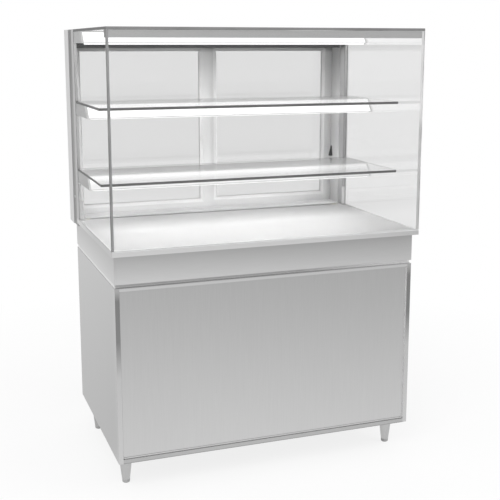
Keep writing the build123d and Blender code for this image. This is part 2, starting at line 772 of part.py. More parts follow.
with BuildPart() as switch_housings:
    with BuildSketch(Plane.XZ.offset(-cabinet_rear)):
        with Locations(knob_spot):
            Rectangle(36, 44)
    extrude(amount=housing_depth)
    with BuildSketch(Plane.XZ.offset(-cabinet_rear)):
        with Locations(knob_spot):
            Circle(spindle_radius)
    extrude(amount=-14)
    with BuildSketch(Plane.XZ.offset(-cabinet_rear + barrel_depth)):
        with Locations(*rocker_spots):
            Rectangle(rocker_opening[0] + 4, rocker_opening[1] + 4)
    extrude(amount=-(plate_outer - cabinet_rear + barrel_depth))
    with BuildSketch(Plane.XZ.offset(-plate_outer)):
        with Locations(*rocker_spots):
            RectangleRounded(rocker_opening[0] + 8, rocker_opening[1] + 8, 2)
    extrude(amount=-(bezel_face - plate_outer))
    with BuildSketch(Plane.XZ.offset(-bezel_face)):
        with Locations(*rocker_spots):
            Rectangle(*rocker_opening)
    extrude(amount=barrel_depth, mode=Mode.SUBTRACT)
    for spot_x, spot_z in rocker_spots:
        with BuildSketch(Plane.YZ.offset(spot_x - rocker_opening[0] / 2 - 1.5)):
            with Locations((pivot_y, spot_z)):
                Circle(pivot_radius + bore_clearance)
        extrude(amount=rocker_opening[0] + 3, mode=Mode.SUBTRACT)
switch_housings.part.label = "switch_housings"
export_step(switch_housings.part, "parts/switch_housings.step")

# Rockers: shallow V faces on a pivot pin, stored tipped to one side
rest_tilt = 8
rocker_gap = 0.3
rocker_outline = [(-4, -5), (5.5, -11.5), (4, 0), (5.5, 11.5), (-4, 5)]

with BuildPart() as power_switch:
    with BuildSketch(Plane.YZ.offset(rocker_spots[0][0] - rocker_opening[0] / 2 + rocker_gap)):
        with Locations((pivot_y, rocker_spots[0][1])):
            Polygon(*rocker_outline, rotation=rest_tilt, align=None)
    extrude(amount=rocker_opening[0] - 2 * rocker_gap)
    with BuildSketch(Plane.YZ.offset(rocker_spots[0][0] - rocker_opening[0] / 2 - 1.4)):
        with Locations((pivot_y, rocker_spots[0][1])):
            Circle(pivot_radius)
    extrude(amount=rocker_opening[0] + 2.8)
power_switch.part.label = "power_switch"
export_step(power_switch.part, "parts/power_switch.step")

light_switch = power_switch.part.moved(Location((rocker_spots[1][0] - rocker_spots[0][0], 0, 0)))
light_switch.label = "light_switch"
export_step(light_switch, "parts/light_switch.step")

# Thermostat knob: a scalloped grip with a pointer ridge, on the spindle
knob_radius = 18
knob_face = cabinet_rear + 18
with BuildPart() as thermostat_knob:
    with BuildSketch(Plane.XZ.offset(-plate_outer - 0.5)):
        with Locations(knob_spot):
            Circle(knob_radius)
            with PolarLocations(knob_radius + 1.5, 16):
                Circle(2.6, mode=Mode.SUBTRACT)
    extrude(amount=-(knob_face - plate_outer - 0.5))
    with BuildSketch(Plane.XZ.offset(-knob_face)):
        with Locations((knob_spot[0], knob_spot[1] + 8)):
            SlotOverall(14, 3, rotation=90)
    extrude(amount=-1.5)
    with BuildSketch(Plane.XZ.offset(-plate_outer - 0.5)):
        with Locations(knob_spot):
            Circle(spindle_radius + bore_clearance)
    extrude(amount=-12.5, mode=Mode.SUBTRACT)
thermostat_knob.part.label = "thermostat_knob"
export_step(thermostat_knob.part, "parts/thermostat_knob.step")

# Glass walls: butt-jointed sheets with ground edges
edge_grind = 0.6
glass_height = top_glass_z - deck_z

with BuildPart() as front_glass:
    with BuildSketch(Plane.XZ.offset(-front)):
        with Locations((0, (deck_z + top_glass_z) / 2)):
            Rectangle(case_width, glass_height)
    extrude(amount=-glass)
    chamfer(front_glass.edges(), edge_grind)
front_glass.part.label = "front_glass"
export_step(front_glass.part, "parts/front_glass.step")

with BuildPart() as side_glass_left:
    with BuildSketch(Plane.YZ.offset(-half_width)):
        with Locations(((front + glass + side_glass_rear) / 2, (deck_z + top_glass_z) / 2)):
            Rectangle(side_glass_rear - front - glass, glass_height)
    extrude(amount=glass)
    chamfer(side_glass_left.edges(), edge_grind)
side_glass_left.part.label = "side_glass_left"
export_step(side_glass_left.part, "parts/side_glass_left.step")

side_glass_right = mirror(side_glass_left.part, about=Plane.YZ)
side_glass_right.label = "side_glass_right"
export_step(side_glass_right, "parts/side_glass_right.step")

with BuildPart() as top_glass:
    with BuildSketch(Plane.XY.offset(top_glass_z)):
        with Locations((0, (front + side_glass_rear) / 2)):
            Rectangle(case_width, side_glass_rear - front)
    extrude(amount=glass)
    chamfer(top_glass.edges(), edge_grind)
top_glass.part.label = "top_glass"
export_step(top_glass.part, "parts/top_glass.step")

# Top profile: the grey box section behind the head of the front glass
top_profile_depth = 26
top_profile_drop = 22
with BuildPart() as top_profile:
    with BuildSketch(Plane.YZ.offset(-glass_inner)):
        with Locations((front + glass + top_profile_depth / 2, top_glass_z - top_profile_drop / 2)):
            Rectangle(top_profile_depth, top_profile_drop)
            Rectangle(top_profile_depth - 2 * profile_wall, top_profile_drop - 2 * profile_wall,
                      mode=Mode.SUBTRACT)
    extrude(amount=2 * glass_inner)
top_profile.part.label = "top_profile"
export_step(top_profile.part, "parts/top_profile.step")

# Posts: aluminium box sections on the deck, behind the side glasses
post_cap = 3
post_round = 1.2
with BuildPart() as post_left:
    with BuildSketch(Plane.XY.offset(deck_z)):
        with Locations((-half_width + post_width / 2, (side_glass_rear + post_rear) / 2)):
            RectangleRounded(post_width, post_rear - side_glass_rear, post_round)
    extrude(amount=case_height - deck_z)
    with BuildSketch(Plane.XY.offset(deck_z)):
        with Locations((-half_width + post_width / 2, (side_glass_rear + post_rear) / 2)):
            Rectangle(post_width - 2 * profile_wall, post_rear - side_glass_rear - 2 * profile_wall)
    extrude(amount=case_height - deck_z - post_cap, mode=Mode.SUBTRACT)
post_left.part.label = "post_left"
export_step(post_left.part, "parts/post_left.step")

post_right = mirror(post_left.part, about=Plane.YZ)
post_right.label = "post_right"
export_step(post_right, "parts/post_right.step")

# Post feet: small angles that tie each post to the deck
foot_x = 484
foot_width = 12
foot_rise = 66
foot_reach = 22
foot_thickness = 3
with BuildPart() as post_feet:
    for side in (-1, 1):
        with BuildSketch(Plane.YZ.offset(side * foot_x - foot_width / 2)):
            with BuildLine():
                Polyline((side_glass_rear, deck_z), (side_glass_rear, deck_z + foot_rise),
                         (side_glass_rear - foot_thickness, deck_z + foot_rise),
                         (side_glass_rear - foot_thickness, deck_z + foot_thickness),
                         (side_glass_rear - foot_reach, deck_z + foot_thickness),
                         (side_glass_rear - foot_reach, deck_z), close=True)
            make_face()
        extrude(amount=foot_width)
post_feet.part.label = "post_feet"
export_step(post_feet.part, "parts/post_feet.step")

# Jamb strips: the dark insulating profiles between posts and jambs
strip_size = (strip_outer - strip_inner, strip_rear - post_rear)
strip_height = case_height - sill_bottom_z
strip_spots = [(side * (strip_inner + strip_outer) / 2, (post_rear + strip_rear) / 2) for side in (-1, 1)]

with BuildPart() as jamb_strips:
    with BuildSketch(Plane.XY.offset(sill_bottom_z)):
        with Locations(*strip_spots):
            Rectangle(*strip_size)
    extrude(amount=strip_height)
    with BuildSketch(Plane.XY.offset(sill_bottom_z)):
        with Locations(*strip_spots):
            Rectangle(strip_size[0] - 2 * profile_wall, strip_size[1] - 2 * profile_wall)
    extrude(amount=strip_height - post_cap, mode=Mode.SUBTRACT)
jamb_strips.part.label = "jamb_strips"
export_step(jamb_strips.part, "parts/jamb_strips.step")

# Jambs: aluminium pockets for the door stiles, with a side wall and a narrow rear lip
jamb_web_rear = strip_rear + jamb_wall
jamb_lip_front = front + 697
jamb_lip_width = 9

with BuildPart() as jamb_left:
    with BuildSketch(Plane.XY.offset(sill_bottom_z)):
        with BuildLine():
            Polyline((-half_width, strip_rear), (-strip_inner, strip_rear), (-strip_inner, jamb_web_rear),
                     (-strip_outer, jamb_web_rear), (-strip_outer, jamb_lip_front),
                     (-half_width + jamb_lip_width, jamb_lip_front), (-half_width + jamb_lip_width, rear),
                     (-half_width, rear), close=True)
        make_face()
    extrude(amount=strip_height)
    with BuildSketch(Plane.XY.offset(sill_bottom_z)):
        with Locations((-half_width + jamb_lip_width / 2, (jamb_lip_front + rear) / 2)):
            Rectangle(jamb_lip_width - 2 * profile_wall, rear - jamb_lip_front - 2 * profile_wall)
    extrude(amount=strip_height - post_cap, mode=Mode.SUBTRACT)
jamb_left.part.label = "jamb_left"
export_step(jamb_left.part, "parts/jamb_left.step")

jamb_right = mirror(jamb_left.part, about=Plane.YZ)
jamb_right.label = "jamb_right"
export_step(jamb_right, "parts/jamb_right.step")

# Door tracks: two grooves in the sill and two deeper ones in the top rail.
# Their front chambers fit between the strips, their tracks reach into the jambs.
track_fronts = (front + 648, front + 672)
track_width = 22
top_track_z = 1374
track_reach = half_width - jamb_lip_width - 0.5
chamber_start = post_rear + profile_wall
chamber_end = jamb_web_rear - profile_wall
header_bottom_z = 1372

with BuildPart() as rear_sill:
    with BuildSketch(Plane.YZ.offset(-strip_inner)):
        with Locations((post_rear, sill_bottom_z)):
            Rectangle(jamb_web_rear - post_rear, sill_top_z - sill_bottom_z, align=(Align.MIN, Align.MIN))
        with Locations((chamber_start, sill_bottom_z + profile_wall)):
            Rectangle(chamber_end - chamber_start, sill_top_z - sill_bottom_z - 2 * profile_wall,
                      align=(Align.MIN, Align.MIN), mode=Mode.SUBTRACT)
    extrude(amount=2 * strip_inner)
    with BuildSketch(Plane.YZ.offset(-track_reach)):
        with Locations((jamb_web_rear, sill_bottom_z)):
            Rectangle(rear - jamb_web_rear, sill_top_z - sill_bottom_z, align=(Align.MIN, Align.MIN))
        for track_front in track_fronts:
            with Locations((track_front, track_floor_z)):
                Rectangle(track_width, sill_top_z - track_floor_z, align=(Align.MIN, Align.MIN),
                          mode=Mode.SUBTRACT)
        with Locations((track_fronts[0], sill_bottom_z + profile_wall)):
            Rectangle(rear - profile_wall - track_fronts[0], track_floor_z - sill_bottom_z - 4,
                      align=(Align.MIN, Align.MIN), mode=Mode.SUBTRACT)
    extrude(amount=2 * track_reach)
rear_sill.part.label = "rear_sill"
export_step(rear_sill.part, "parts/rear_sill.step")

with BuildPart() as rear_top_rail:
    with BuildSketch(Plane.YZ.offset(-strip_inner)):
        with BuildLine():
            Polyline((post_rear, rail_bottom_z), (jamb_web_rear, rail_bottom_z),
                     (jamb_web_rear, case_height), (side_glass_rear, case_height),
                     (side_glass_rear, header_bottom_z), (post_rear, header_bottom_z), close=True)
        make_face()
        with Locations((chamber_start, rail_bottom_z + profile_wall)):
            Rectangle(chamber_end - chamber_start, case_height - rail_bottom_z - 2 * profile_wall,
                      align=(Align.MIN, Align.MIN), mode=Mode.SUBTRACT)
        with Locations((side_glass_rear + profile_wall, header_bottom_z + profile_wall)):
            Rectangle(post_rear - side_glass_rear - profile_wall,
                      case_height - header_bottom_z - 2 * profile_wall,
                      align=(Align.MIN, Align.MIN), mode=Mode.SUBTRACT)
    extrude(amount=2 * strip_inner)
    with BuildSketch(Plane.YZ.offset(-track_reach)):
        with Locations((jamb_web_rear, rail_bottom_z)):
            Rectangle(rear - jamb_web_rear, case_height - rail_bottom_z, align=(Align.MIN, Align.MIN))
        for track_front in track_fronts:
            with Locations((track_front, rail_bottom_z)):
                Rectangle(track_width, top_track_z - rail_bottom_z, align=(Align.MIN, Align.MIN),
                          mode=Mode.SUBTRACT)
        with Locations((track_fronts[0], top_track_z + profile_wall)):
            Rectangle(rear - profile_wall - track_fronts[0], case_height - top_track_z - 4,
                      align=(Align.MIN, Align.MIN), mode=Mode.SUBTRACT)
    extrude(amount=2 * track_reach)
rear_top_rail.part.label = "rear_top_rail"
export_step(rear_top_rail.part, "parts/rear_top_rail.step")

# Light beams: hollow sections under the top glass and the shelves, with a leaning lit front
beam_rear = front + 505
beam_drop = 37
beam_lean = 30
lens_thickness = 4
lens_ends = (0.06, 0.94)
beams = [("top", top_glass_z, front + 410), ("upper", 1153, front + 360), ("lower", 927, front + 360)]


def slope_point(crease, beam_top, share, inward):
    """Point on a beam's leaning front, share of the way down, moved inward from its face."""
    return crease - beam_lean * share + inward, beam_top - beam_drop * share


def lens_outline(crease, beam_top):
    """Outline of the lens: a strip of the leaning front."""
    Polyline(slope_point(crease, beam_top, lens_ends[0], 0), slope_point(crease, beam_top, lens_ends[1], 0),
             slope_point(crease, beam_top, lens_ends[1], lens_thickness),
             slope_point(crease, beam_top, lens_ends[0], lens_thickness), close=True)


def cavity_outline(crease, beam_top):
    """Outline of the lamp chamber behind the lens."""
    Polyline(slope_point(crease, beam_top, 0.09, lens_thickness),
             (beam_rear - profile_wall, beam_top - 0.09 * beam_drop),
             (beam_rear - profile_wall, beam_top - 0.91 * beam_drop),
             slope_point(crease, beam_top, 0.91, lens_thickness), close=True)


def beam_outline(crease, beam_top, back):
    """Outer outline of a beam or of its end bracket, back to the given depth."""
    Polyline((crease, beam_top), (back, beam_top), (back, beam_top - beam_drop),
             (crease - beam_lean, beam_top - beam_drop), close=True)


for name, beam_top, crease in beams:
    with BuildPart() as light_beam:
        with BuildSketch(Plane.YZ.offset(-beam_half)):
            with BuildLine():
                beam_outline(crease, beam_top, beam_rear)
            make_face()
        extrude(amount=2 * beam_half)
        with BuildSketch(Plane.YZ.offset(-beam_half)):
            with BuildLine():
                cavity_outline(crease, beam_top)
            make_face()
            with BuildLine():
                lens_outline(crease, beam_top)
            make_face()
        extrude(amount=2 * beam_half, mode=Mode.SUBTRACT)
    light_beam.part.label = "light_beam_" + name
    export_step(light_beam.part, "parts/light_beam_" + name + ".step")

# Lenses: the white strips that close the lit fronts
with BuildPart() as lenses:
    for name, beam_top, crease in beams:
        with BuildSketch(Plane.YZ.offset(-beam_half)):
            with BuildLine():
                lens_outline(crease, beam_top)
            make_face()
        extrude(amount=2 * beam_half)
lenses.part.label = "lenses"
export_step(lenses.part, "parts/lenses.step")

# Beam brackets: end plates from the posts, against the side glasses
with BuildPart() as beam_brackets:
    for name, beam_top, crease in beams:
        for bracket_x in (-glass_inner, beam_half):
            with BuildSketch(Plane.YZ.offset(bracket_x)):
                with BuildLine():
                    beam_outline(crease, beam_top, side_glass_rear)
                make_face()
            extrude(amount=bracket_thickness)
beam_brackets.part.label = "beam_brackets"
export_step(beam_brackets.part, "parts/beam_brackets.step")

# Shelves: glass sheets with rounded front corners, lying on the beams
shelf_corner = 3
for name, beam_top, crease in beams[1:]:
    with BuildPart() as shelf:
        with BuildSketch(Plane.XY.offset(beam_top)):
            with Locations((0, (shelf_front + shelf_rear) / 2)):
                Rectangle(2 * shelf_half, shelf_rear - shelf_front)
        extrude(amount=glass)
        fillet(shelf.edges().filter_by(Axis.Z).group_by(Axis.Y)[0], shelf_corner)
        chamfer(shelf.edges().group_by(Axis.Z)[-1] + shelf.edges().group_by(Axis.Z)[0], edge_grind)
    shelf.part.label = "shelf_" + name
    export_step(shelf.part, "parts/shelf_" + name + ".step")

# Sliding doors: extruded frames with a bevelled bead on both faces, round a double pane
door_outer = 494
door_overlap = 4
door_bottom_z = track_floor_z + 0.4
door_top_z = 1361
door_thickness = 18
door_running_gap = 2
stile_flat = 28
bead_width = 10
bead_depth = 3
pane_bite = 6
pane_thickness = 4
pane_gap = 4
pull_outer = (18, 140)
pull_wall = 1.5
pull_depth = 11
pull_z = 1050
pull_flange = 1.2
pull_inset = 15
door_mid_z = (door_bottom_z + door_top_z) / 2
door_height = door_top_z - door_bottom_z
door_width = door_outer + door_overlap
doors = [("left", track_fronts[0] + door_running_gap, -1), ("right", track_fronts[1] + door_running_gap, 1)]

for name, door_front, side in doors:
    door_x = side * (door_outer - door_overlap) / 2
    pull_x = side * (door_outer - pull_inset)
    door_back = door_front + door_thickness
    pane_front = door_front + bead_depth
    pane_stack = 2 * pane_thickness + pane_gap

    with BuildPart() as door_frame:
        with BuildSketch(Plane.XZ.offset(-door_front)):
            with Locations((door_x, door_mid_z)):
                Rectangle(door_width, door_height)
                Rectangle(door_width - 2 * (stile_flat + bead_width),
                          door_height - 2 * (stile_flat + bead_width), mode=Mode.SUBTRACT)
        extrude(amount=-door_thickness)
        with BuildSketch(Plane.XZ.offset(-pane_front)):
            with Locations((door_x, door_mid_z)):
                Rectangle(door_width - 2 * (stile_flat + bead_width - pane_bite),
                          door_height - 2 * (stile_flat + bead_width - pane_bite))
        extrude(amount=-pane_stack, mode=Mode.SUBTRACT)
        for face_y, inward in ((door_front, -1), (door_back, 1)):
            with BuildSketch(Plane.XZ.offset(-face_y)):
                with Locations((door_x, door_mid_z)):
                    Rectangle(door_width - 2 * stile_flat, door_height - 2 * stile_flat)
            extrude(amount=inward * bead_depth, taper=degrees(atan(bead_width / bead_depth)),
                    mode=Mode.SUBTRACT)
        with BuildSketch(Plane.XZ.offset(-door_back)):
            with Locations((pull_x, pull_z)):
                RectangleRounded(*pull_outer, 4)
        extrude(amount=pull_depth, mode=Mode.SUBTRACT)
    door_frame.part.label = "door_" + name + "_frame"
    export_step(door_frame.part, "parts/door_" + name + "_frame.step")

    with BuildPart() as door_glass:
        for pane_y in (pane_front, pane_front + pane_thickness + pane_gap):
            with BuildSketch(Plane.XZ.offset(-pane_y)):
                with Locations((door_x, door_mid_z)):
                    Rectangle(door_width - 2 * (stile_flat + bead_width - pane_bite),
                              door_height - 2 * (stile_flat + bead_width - pane_bite))
            extrude(amount=-pane_thickness)
    door_glass.part.label = "door_" + name + "_glass"
    export_step(door_glass.part, "parts/door_" + name + "_glass.step")

    with BuildPart() as door_pull:
        with BuildSketch(Plane.XZ.offset(-door_back)):
            with Locations((pull_x, pull_z)):
                RectangleRounded(*pull_outer, 4)
        extrude(amount=pull_depth)
        with BuildSketch(Plane.XZ.offset(-door_back)):
            with Locations((pull_x, pull_z)):
                RectangleRounded(pull_outer[0] + 2, pull_outer[1] + 4, 5)
        extrude(amount=-pull_flange)
        with BuildSketch(Plane.XZ.offset(-door_back - pull_flange)):
            with Locations((pull_x, pull_z)):
                RectangleRounded(pull_outer[0] - 2 * pull_wall, pull_outer[1] - 2 * pull_wall, 2.5)
        extrude(amount=pull_depth + pull_flange - pull_wall, mode=Mode.SUBTRACT)
    door_pull.part.label = "door_" + name + "_pull"
    export_step(door_pull.part, "parts/door_" + name + "_pull.step")
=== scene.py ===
"""Looks of a refrigerated display case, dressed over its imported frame."""

import math

import bmesh
import bpy
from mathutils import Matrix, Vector


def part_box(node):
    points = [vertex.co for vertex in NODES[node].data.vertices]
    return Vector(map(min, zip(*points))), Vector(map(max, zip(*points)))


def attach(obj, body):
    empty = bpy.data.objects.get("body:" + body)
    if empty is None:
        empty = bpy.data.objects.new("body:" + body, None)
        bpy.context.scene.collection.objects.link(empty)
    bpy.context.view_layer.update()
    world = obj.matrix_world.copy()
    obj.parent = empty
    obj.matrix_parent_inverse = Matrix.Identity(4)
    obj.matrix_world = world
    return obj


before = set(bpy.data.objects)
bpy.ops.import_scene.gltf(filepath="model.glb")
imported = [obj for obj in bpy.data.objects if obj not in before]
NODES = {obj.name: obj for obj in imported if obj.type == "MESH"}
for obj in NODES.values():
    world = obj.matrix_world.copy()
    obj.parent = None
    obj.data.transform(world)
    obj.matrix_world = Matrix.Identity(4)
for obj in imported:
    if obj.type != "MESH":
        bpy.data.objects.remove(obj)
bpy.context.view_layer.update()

bl_info = {
    "name": "Refrigerated display case",
    "version": (1, 0, 0),
    "blender": (4, 5, 0),
    "location": "View3D > Sidebar > Display case",
    "description": "Finishes and small pieces of a glass display case on a steel cabinet",
    "category": "Object",
}

# A face lies across an axis when this share of its normal, or more, points along the axis
ACROSS = 0.9
# Places that finishes follow, in metres: just under the deck's upper face, between the lowest lens
# and the next, and just outside the cut edge of the side panels' front fold
DECK_TOP_Z = 0.75795
ABOVE_LOW_LENS_Z = 1.0
FOLD_EDGE_X = 0.4785


# Colours and node trees

def linear(code):
    """Linear colour, with alpha 1, of an sRGB hex code such as 'c3c3c3'."""
    shades = [int(code[i:i + 2], 16) / 255 for i in (0, 2, 4)]
    return [s / 12.92 if s <= 0.04045 else ((s + 0.055) / 1.055) ** 2.4 for s in shades] + [1.0]


def add_node(tree, kind, settings=None, links=None, colors=None):
    """Adds a node. Settings are its own fields, or its inputs by name or number; links come
    from other sockets; colors are the hex codes and places of a colour ramp."""
    node = tree.nodes.new(kind)
    for key, value in (settings or {}).items():
        if isinstance(key, int) or key in node.inputs:
            node.inputs[key].default_value = value
        else:
            setattr(node, key, value)
    for key, source in (links or {}).items():
        tree.links.new(source, node.inputs[key])
    for stop, (code, place) in zip(node.color_ramp.elements if colors else (), colors or ()):
        stop.color = linear(code)
        stop.position = place
    return node


def material(name, **shader):
    """An empty material, its tree and its shader, with the shader's constant sockets set."""
    made = bpy.data.materials.new(name)
    made.use_nodes = True
    tree = made.node_tree
    bsdf = tree.nodes["Principled BSDF"]
    for key, value in shader.items():
        bsdf.inputs[key.replace("_", " ")].default_value = value
    return made, tree, bsdf


def surface(name, lengths_mm, dark, light, rough, detail=4.0, swing=0.05, depth_mm=0.0, **shader):
    """A finish whose colour, roughness and relief all follow one noise on object coordinates.
    lengths_mm are the real lengths of its cells along X, Y and Z."""
    made, tree, bsdf = material(name, **shader)
    place = add_node(tree, "ShaderNodeTexCoord")
    cells = add_node(tree, "ShaderNodeMapping", {"Scale": [1000.0 / v for v in lengths_mm]},
                     {"Vector": place.outputs["Object"]})
    grain = add_node(tree, "ShaderNodeTexNoise", {"Scale": 1.0, "Detail": detail, "Roughness": 0.6},
                     {"Vector": cells.outputs["Vector"]})
    tone = add_node(tree, "ShaderNodeValToRGB", None, {"Fac": grain.outputs["Fac"]},
                    ((dark, 0.3), (light, 0.7)))
    tree.links.new(tone.outputs["Color"], bsdf.inputs["Base Color"])
    gloss = add_node(tree, "ShaderNodeMapRange", {"To Min": rough - swing, "To Max": rough + swing},
                     {"Value": grain.outputs["Fac"]})
    tree.links.new(gloss.outputs["Result"], bsdf.inputs["Roughness"])
    if depth_mm:
        bump = add_node(tree, "ShaderNodeBump", {"Strength": 0.2, "Distance": depth_mm / 1000.0},
                        {"Height": grain.outputs["Fac"]})
        tree.links.new(bump.outputs["Normal"], bsdf.inputs["Normal"])
    return made, tree, bsdf


def product_of_steps(tree, parts, steps):
    """The product of even steps. Each has its axis, where it starts and ends in metres, and its
    level up to there and from there."""
    product = None
    for axis, start, end, low, high in steps:
        step = add_node(tree, "ShaderNodeMapRange", {"From Min": start, "From Max": end, "To Min": low,
                                                     "To Max": high}, {"Value": parts.outputs[axis]})
        product = step.outputs["Result"] if product is None else add_node(
            tree, "ShaderNodeMath", {"operation": "MULTIPLY"},
            {0: product, 1: step.outputs["Result"]}).outputs[0]
    return product


def paint_light_along(finish, *steps):
    """Paints light and shade into a finish's colour: darkens or lightens it by even steps along the axes."""
    tree, bsdf = finish[1:]
    place = add_node(tree, "ShaderNodeTexCoord")
    parts = add_node(tree, "ShaderNodeSeparateXYZ", None, {"Vector": place.outputs["Object"]})
    plain = bsdf.inputs["Base Color"].links[0].from_socket
    shaded = add_node(tree, "ShaderNodeVectorMath", {"operation": "SCALE"},
                      {"Vector": plain, "Scale": product_of_steps(tree, parts, steps)})
    tree.links.new(shaded.outputs["Vector"], bsdf.inputs["Base Color"])
    return finish


# Materials

def brushed_steel(name, dark, light, along, rough):
    """Ferritic stainless sheet, belt brushed along one direction: the grit leaves fine
    streaks that soften reflections across them. Real streaks are 0.1 mm wide; they are drawn
    0.8 mm wide so that they still show."""
    streak = {"X": (90.0, 0.8, 0.8), "Y": (0.8, 90.0, 0.8), "Z": (0.8, 0.8, 90.0)}[along]
    return surface(name, streak, dark, light, rough, depth_mm=0.02, Metallic=1.0)


def anodised(name, dark, light, rough):
    """Extruded aluminium, etched and anodised: an even satin bloom with faint draw lines."""
    return surface(name, (1.2, 1.2, 60.0), dark, light, rough, swing=0.04, Metallic=1.0)


def moulded(name, dark, light, rough, grit_mm=0.6):
    """Plastic from a spark-eroded mould or die: a fine even grain with a soft highlight."""
    return surface(name, (grit_mm,) * 3, dark, light, rough, detail=2.0, depth_mm=0.03, IOR=1.49)


def coated(name, dark, light, rough):
    """Powder-coated profile: a slight orange peel, about 2 mm across."""
    return surface(name, (2.0, 2.0, 2.0), dark, light, rough, detail=1.0, depth_mm=0.02, IOR=1.5)


def float_glass(name, face_axis, edge_dark, edge_light, gloss, edge_light_step=None):
    """Toughened float glass with ground edges. The faces are clear and bend what is seen through
    them, with a mirror that grows at a grazing view; gloss is 2 for the full mirror of both
    faces. The edges, where light has run through the sheet, look grey and silky, in patches,
    and are found by their normals; the optional step lightens or darkens them along an axis,
    as painted light and shade. A sheet that stands has a white silicone bed under it."""
    made, tree, edge = surface(name, (120.0, 120.0, 120.0), edge_dark, edge_light, 0.4, detail=2.0,
                               IOR=1.5, Specular_IOR_Level=0.1)
    if edge_light_step:
        paint_light_along((made, tree, edge), edge_light_step)
    facing = add_node(tree, "ShaderNodeNewGeometry")
    mirror = add_node(tree, "ShaderNodeBsdfAnisotropic", {"Color": linear("ffffff"), "Roughness": 0.0})
    through = add_node(tree, "ShaderNodeBsdfRefraction", {"Color": linear("f9f9f9"), "Roughness": 0.0,
                                                          "IOR": 1.5})
    open_way = add_node(tree, "ShaderNodeBsdfTransparent", {"Color": linear("f9f9f9")})
    grazing = add_node(tree, "ShaderNodeFresnel", {"IOR": 1.5})
    outside = add_node(tree, "ShaderNodeMath", {"operation": "SUBTRACT", 0: 1.0},
                       {1: facing.outputs["Backfacing"]})
    strong = add_node(tree, "ShaderNodeMath", {"operation": "MULTIPLY", 1: gloss},
                      {0: grazing.outputs[0]})
    share = add_node(tree, "ShaderNodeMath", {"operation": "MULTIPLY", "use_clamp": True},
                     {0: strong.outputs[0], 1: outside.outputs[0]})
    sheet = add_node(tree, "ShaderNodeMixShader", None,
                     {0: share.outputs[0], 1: through.outputs[0], 2: mirror.outputs[0]})
    parts = add_node(tree, "ShaderNodeSeparateXYZ", None, {"Vector": facing.outputs["True Normal"]})
    size = add_node(tree, "ShaderNodeMath", {"operation": "ABSOLUTE"}, {0: parts.outputs[face_axis]})
    is_edge = add_node(tree, "ShaderNodeMath", {"operation": "LESS_THAN", 1: ACROSS}, {0: size.outputs[0]})
    if face_axis != "Z":
        # level edges, and the chamfers that look down onto the bed
        level = add_node(tree, "ShaderNodeMath", {"operation": "ABSOLUTE"}, {0: parts.outputs["Z"]})
        flat = add_node(tree, "ShaderNodeMath", {"operation": "GREATER_THAN", 1: ACROSS},
                        {0: level.outputs[0]})
        foot = add_node(tree, "ShaderNodeMath", {"operation": "LESS_THAN", 1: -0.5}, {0: parts.outputs["Z"]})
        bed = add_node(tree, "ShaderNodeMath", {"operation": "MAXIMUM"},
                       {0: flat.outputs[0], 1: foot.outputs[0]})
        ground = edge.inputs["Base Color"].links[0].from_socket
        tone = add_node(tree, "ShaderNodeMix", {"data_type": "RGBA", 7: linear("ffffff")},
                        {0: bed.outputs[0], 6: ground})
        tree.links.new(tone.outputs[2], edge.inputs["Base Color"])
    solid = add_node(tree, "ShaderNodeMixShader", None, {0: is_edge.outputs[0], 1: sheet.outputs[0],
                                                         2: edge.outputs[0]})
    # light reaches the inside through the sheet, as it does in the shop
    path = add_node(tree, "ShaderNodeLightPath")
    passing = add_node(tree, "ShaderNodeMath", {"operation": "MAXIMUM"},
                       {0: path.outputs["Is Shadow Ray"], 1: path.outputs["Is Diffuse Ray"]})
    both = add_node(tree, "ShaderNodeMixShader", None, {0: passing.outputs[0], 1: solid.outputs[0],
                                                        2: open_way.outputs[0]})
    tree.links.new(both.outputs[0], tree.nodes["Material Output"].inputs["Surface"])
    return made, tree, edge


def lit_lens(name, strength):
    """Opal polycarbonate over a light strip: white, soft and evenly lit. Looked at, straight or
    in a mirror, it is just white; what it lights gets the full strength."""
    made, tree, bsdf = surface(name, (30.0, 3.0, 3.0), "b4b4b4", "bcbcbc", 0.45, detail=1.0, IOR=1.58)
    bsdf.inputs["Emission Color"].default_value = linear("ffffff")
    path = add_node(tree, "ShaderNodeLightPath")
    looked_at = add_node(tree, "ShaderNodeMath", {"operation": "MAXIMUM"},
                         {0: path.outputs["Is Camera Ray"], 1: path.outputs["Is Singular Ray"]})
    level = add_node(tree, "ShaderNodeMapRange", {"To Min": strength, "To Max": 0.95},
                     {"Value": looked_at.outputs[0]})
    tree.links.new(level.outputs["Result"], bsdf.inputs["Emission Strength"])
    return made, tree, bsdf


def paint_shade_on_low_lens(finish):
    """Painted shade on the lowest lens, as seen: below its upper half, at its top edge and toward
    its right end its white dulls to the plain opal sheet; the lenses above it keep their white."""
    tree, bsdf = finish[1:]
    place = add_node(tree, "ShaderNodeTexCoord")
    parts = add_node(tree, "ShaderNodeSeparateXYZ", None, {"Vector": place.outputs["Object"]})
    share = product_of_steps(tree, parts, (("Z", 0.905, 0.918, 0.5, 1.0), ("Z", 0.9195, 0.926, 1.0, 0.6),
                                           ("X", 0.22, 0.4, 1.0, 0.66)))
    others = add_node(tree, "ShaderNodeMath", {"operation": "GREATER_THAN", 1: ABOVE_LOW_LENS_Z},
                      {0: parts.outputs["Z"]})
    kept = add_node(tree, "ShaderNodeMix", {3: 1.0}, {0: others.outputs[0], 2: share})
    level = bsdf.inputs["Emission Strength"].links[0].from_node
    seen = add_node(tree, "ShaderNodeMapRange", {"To Min": 0.0, "To Max": 0.84}, {"Value": kept.outputs[0]})
    tree.links.new(seen.outputs["Result"], level.inputs["To Max"])
    return finish


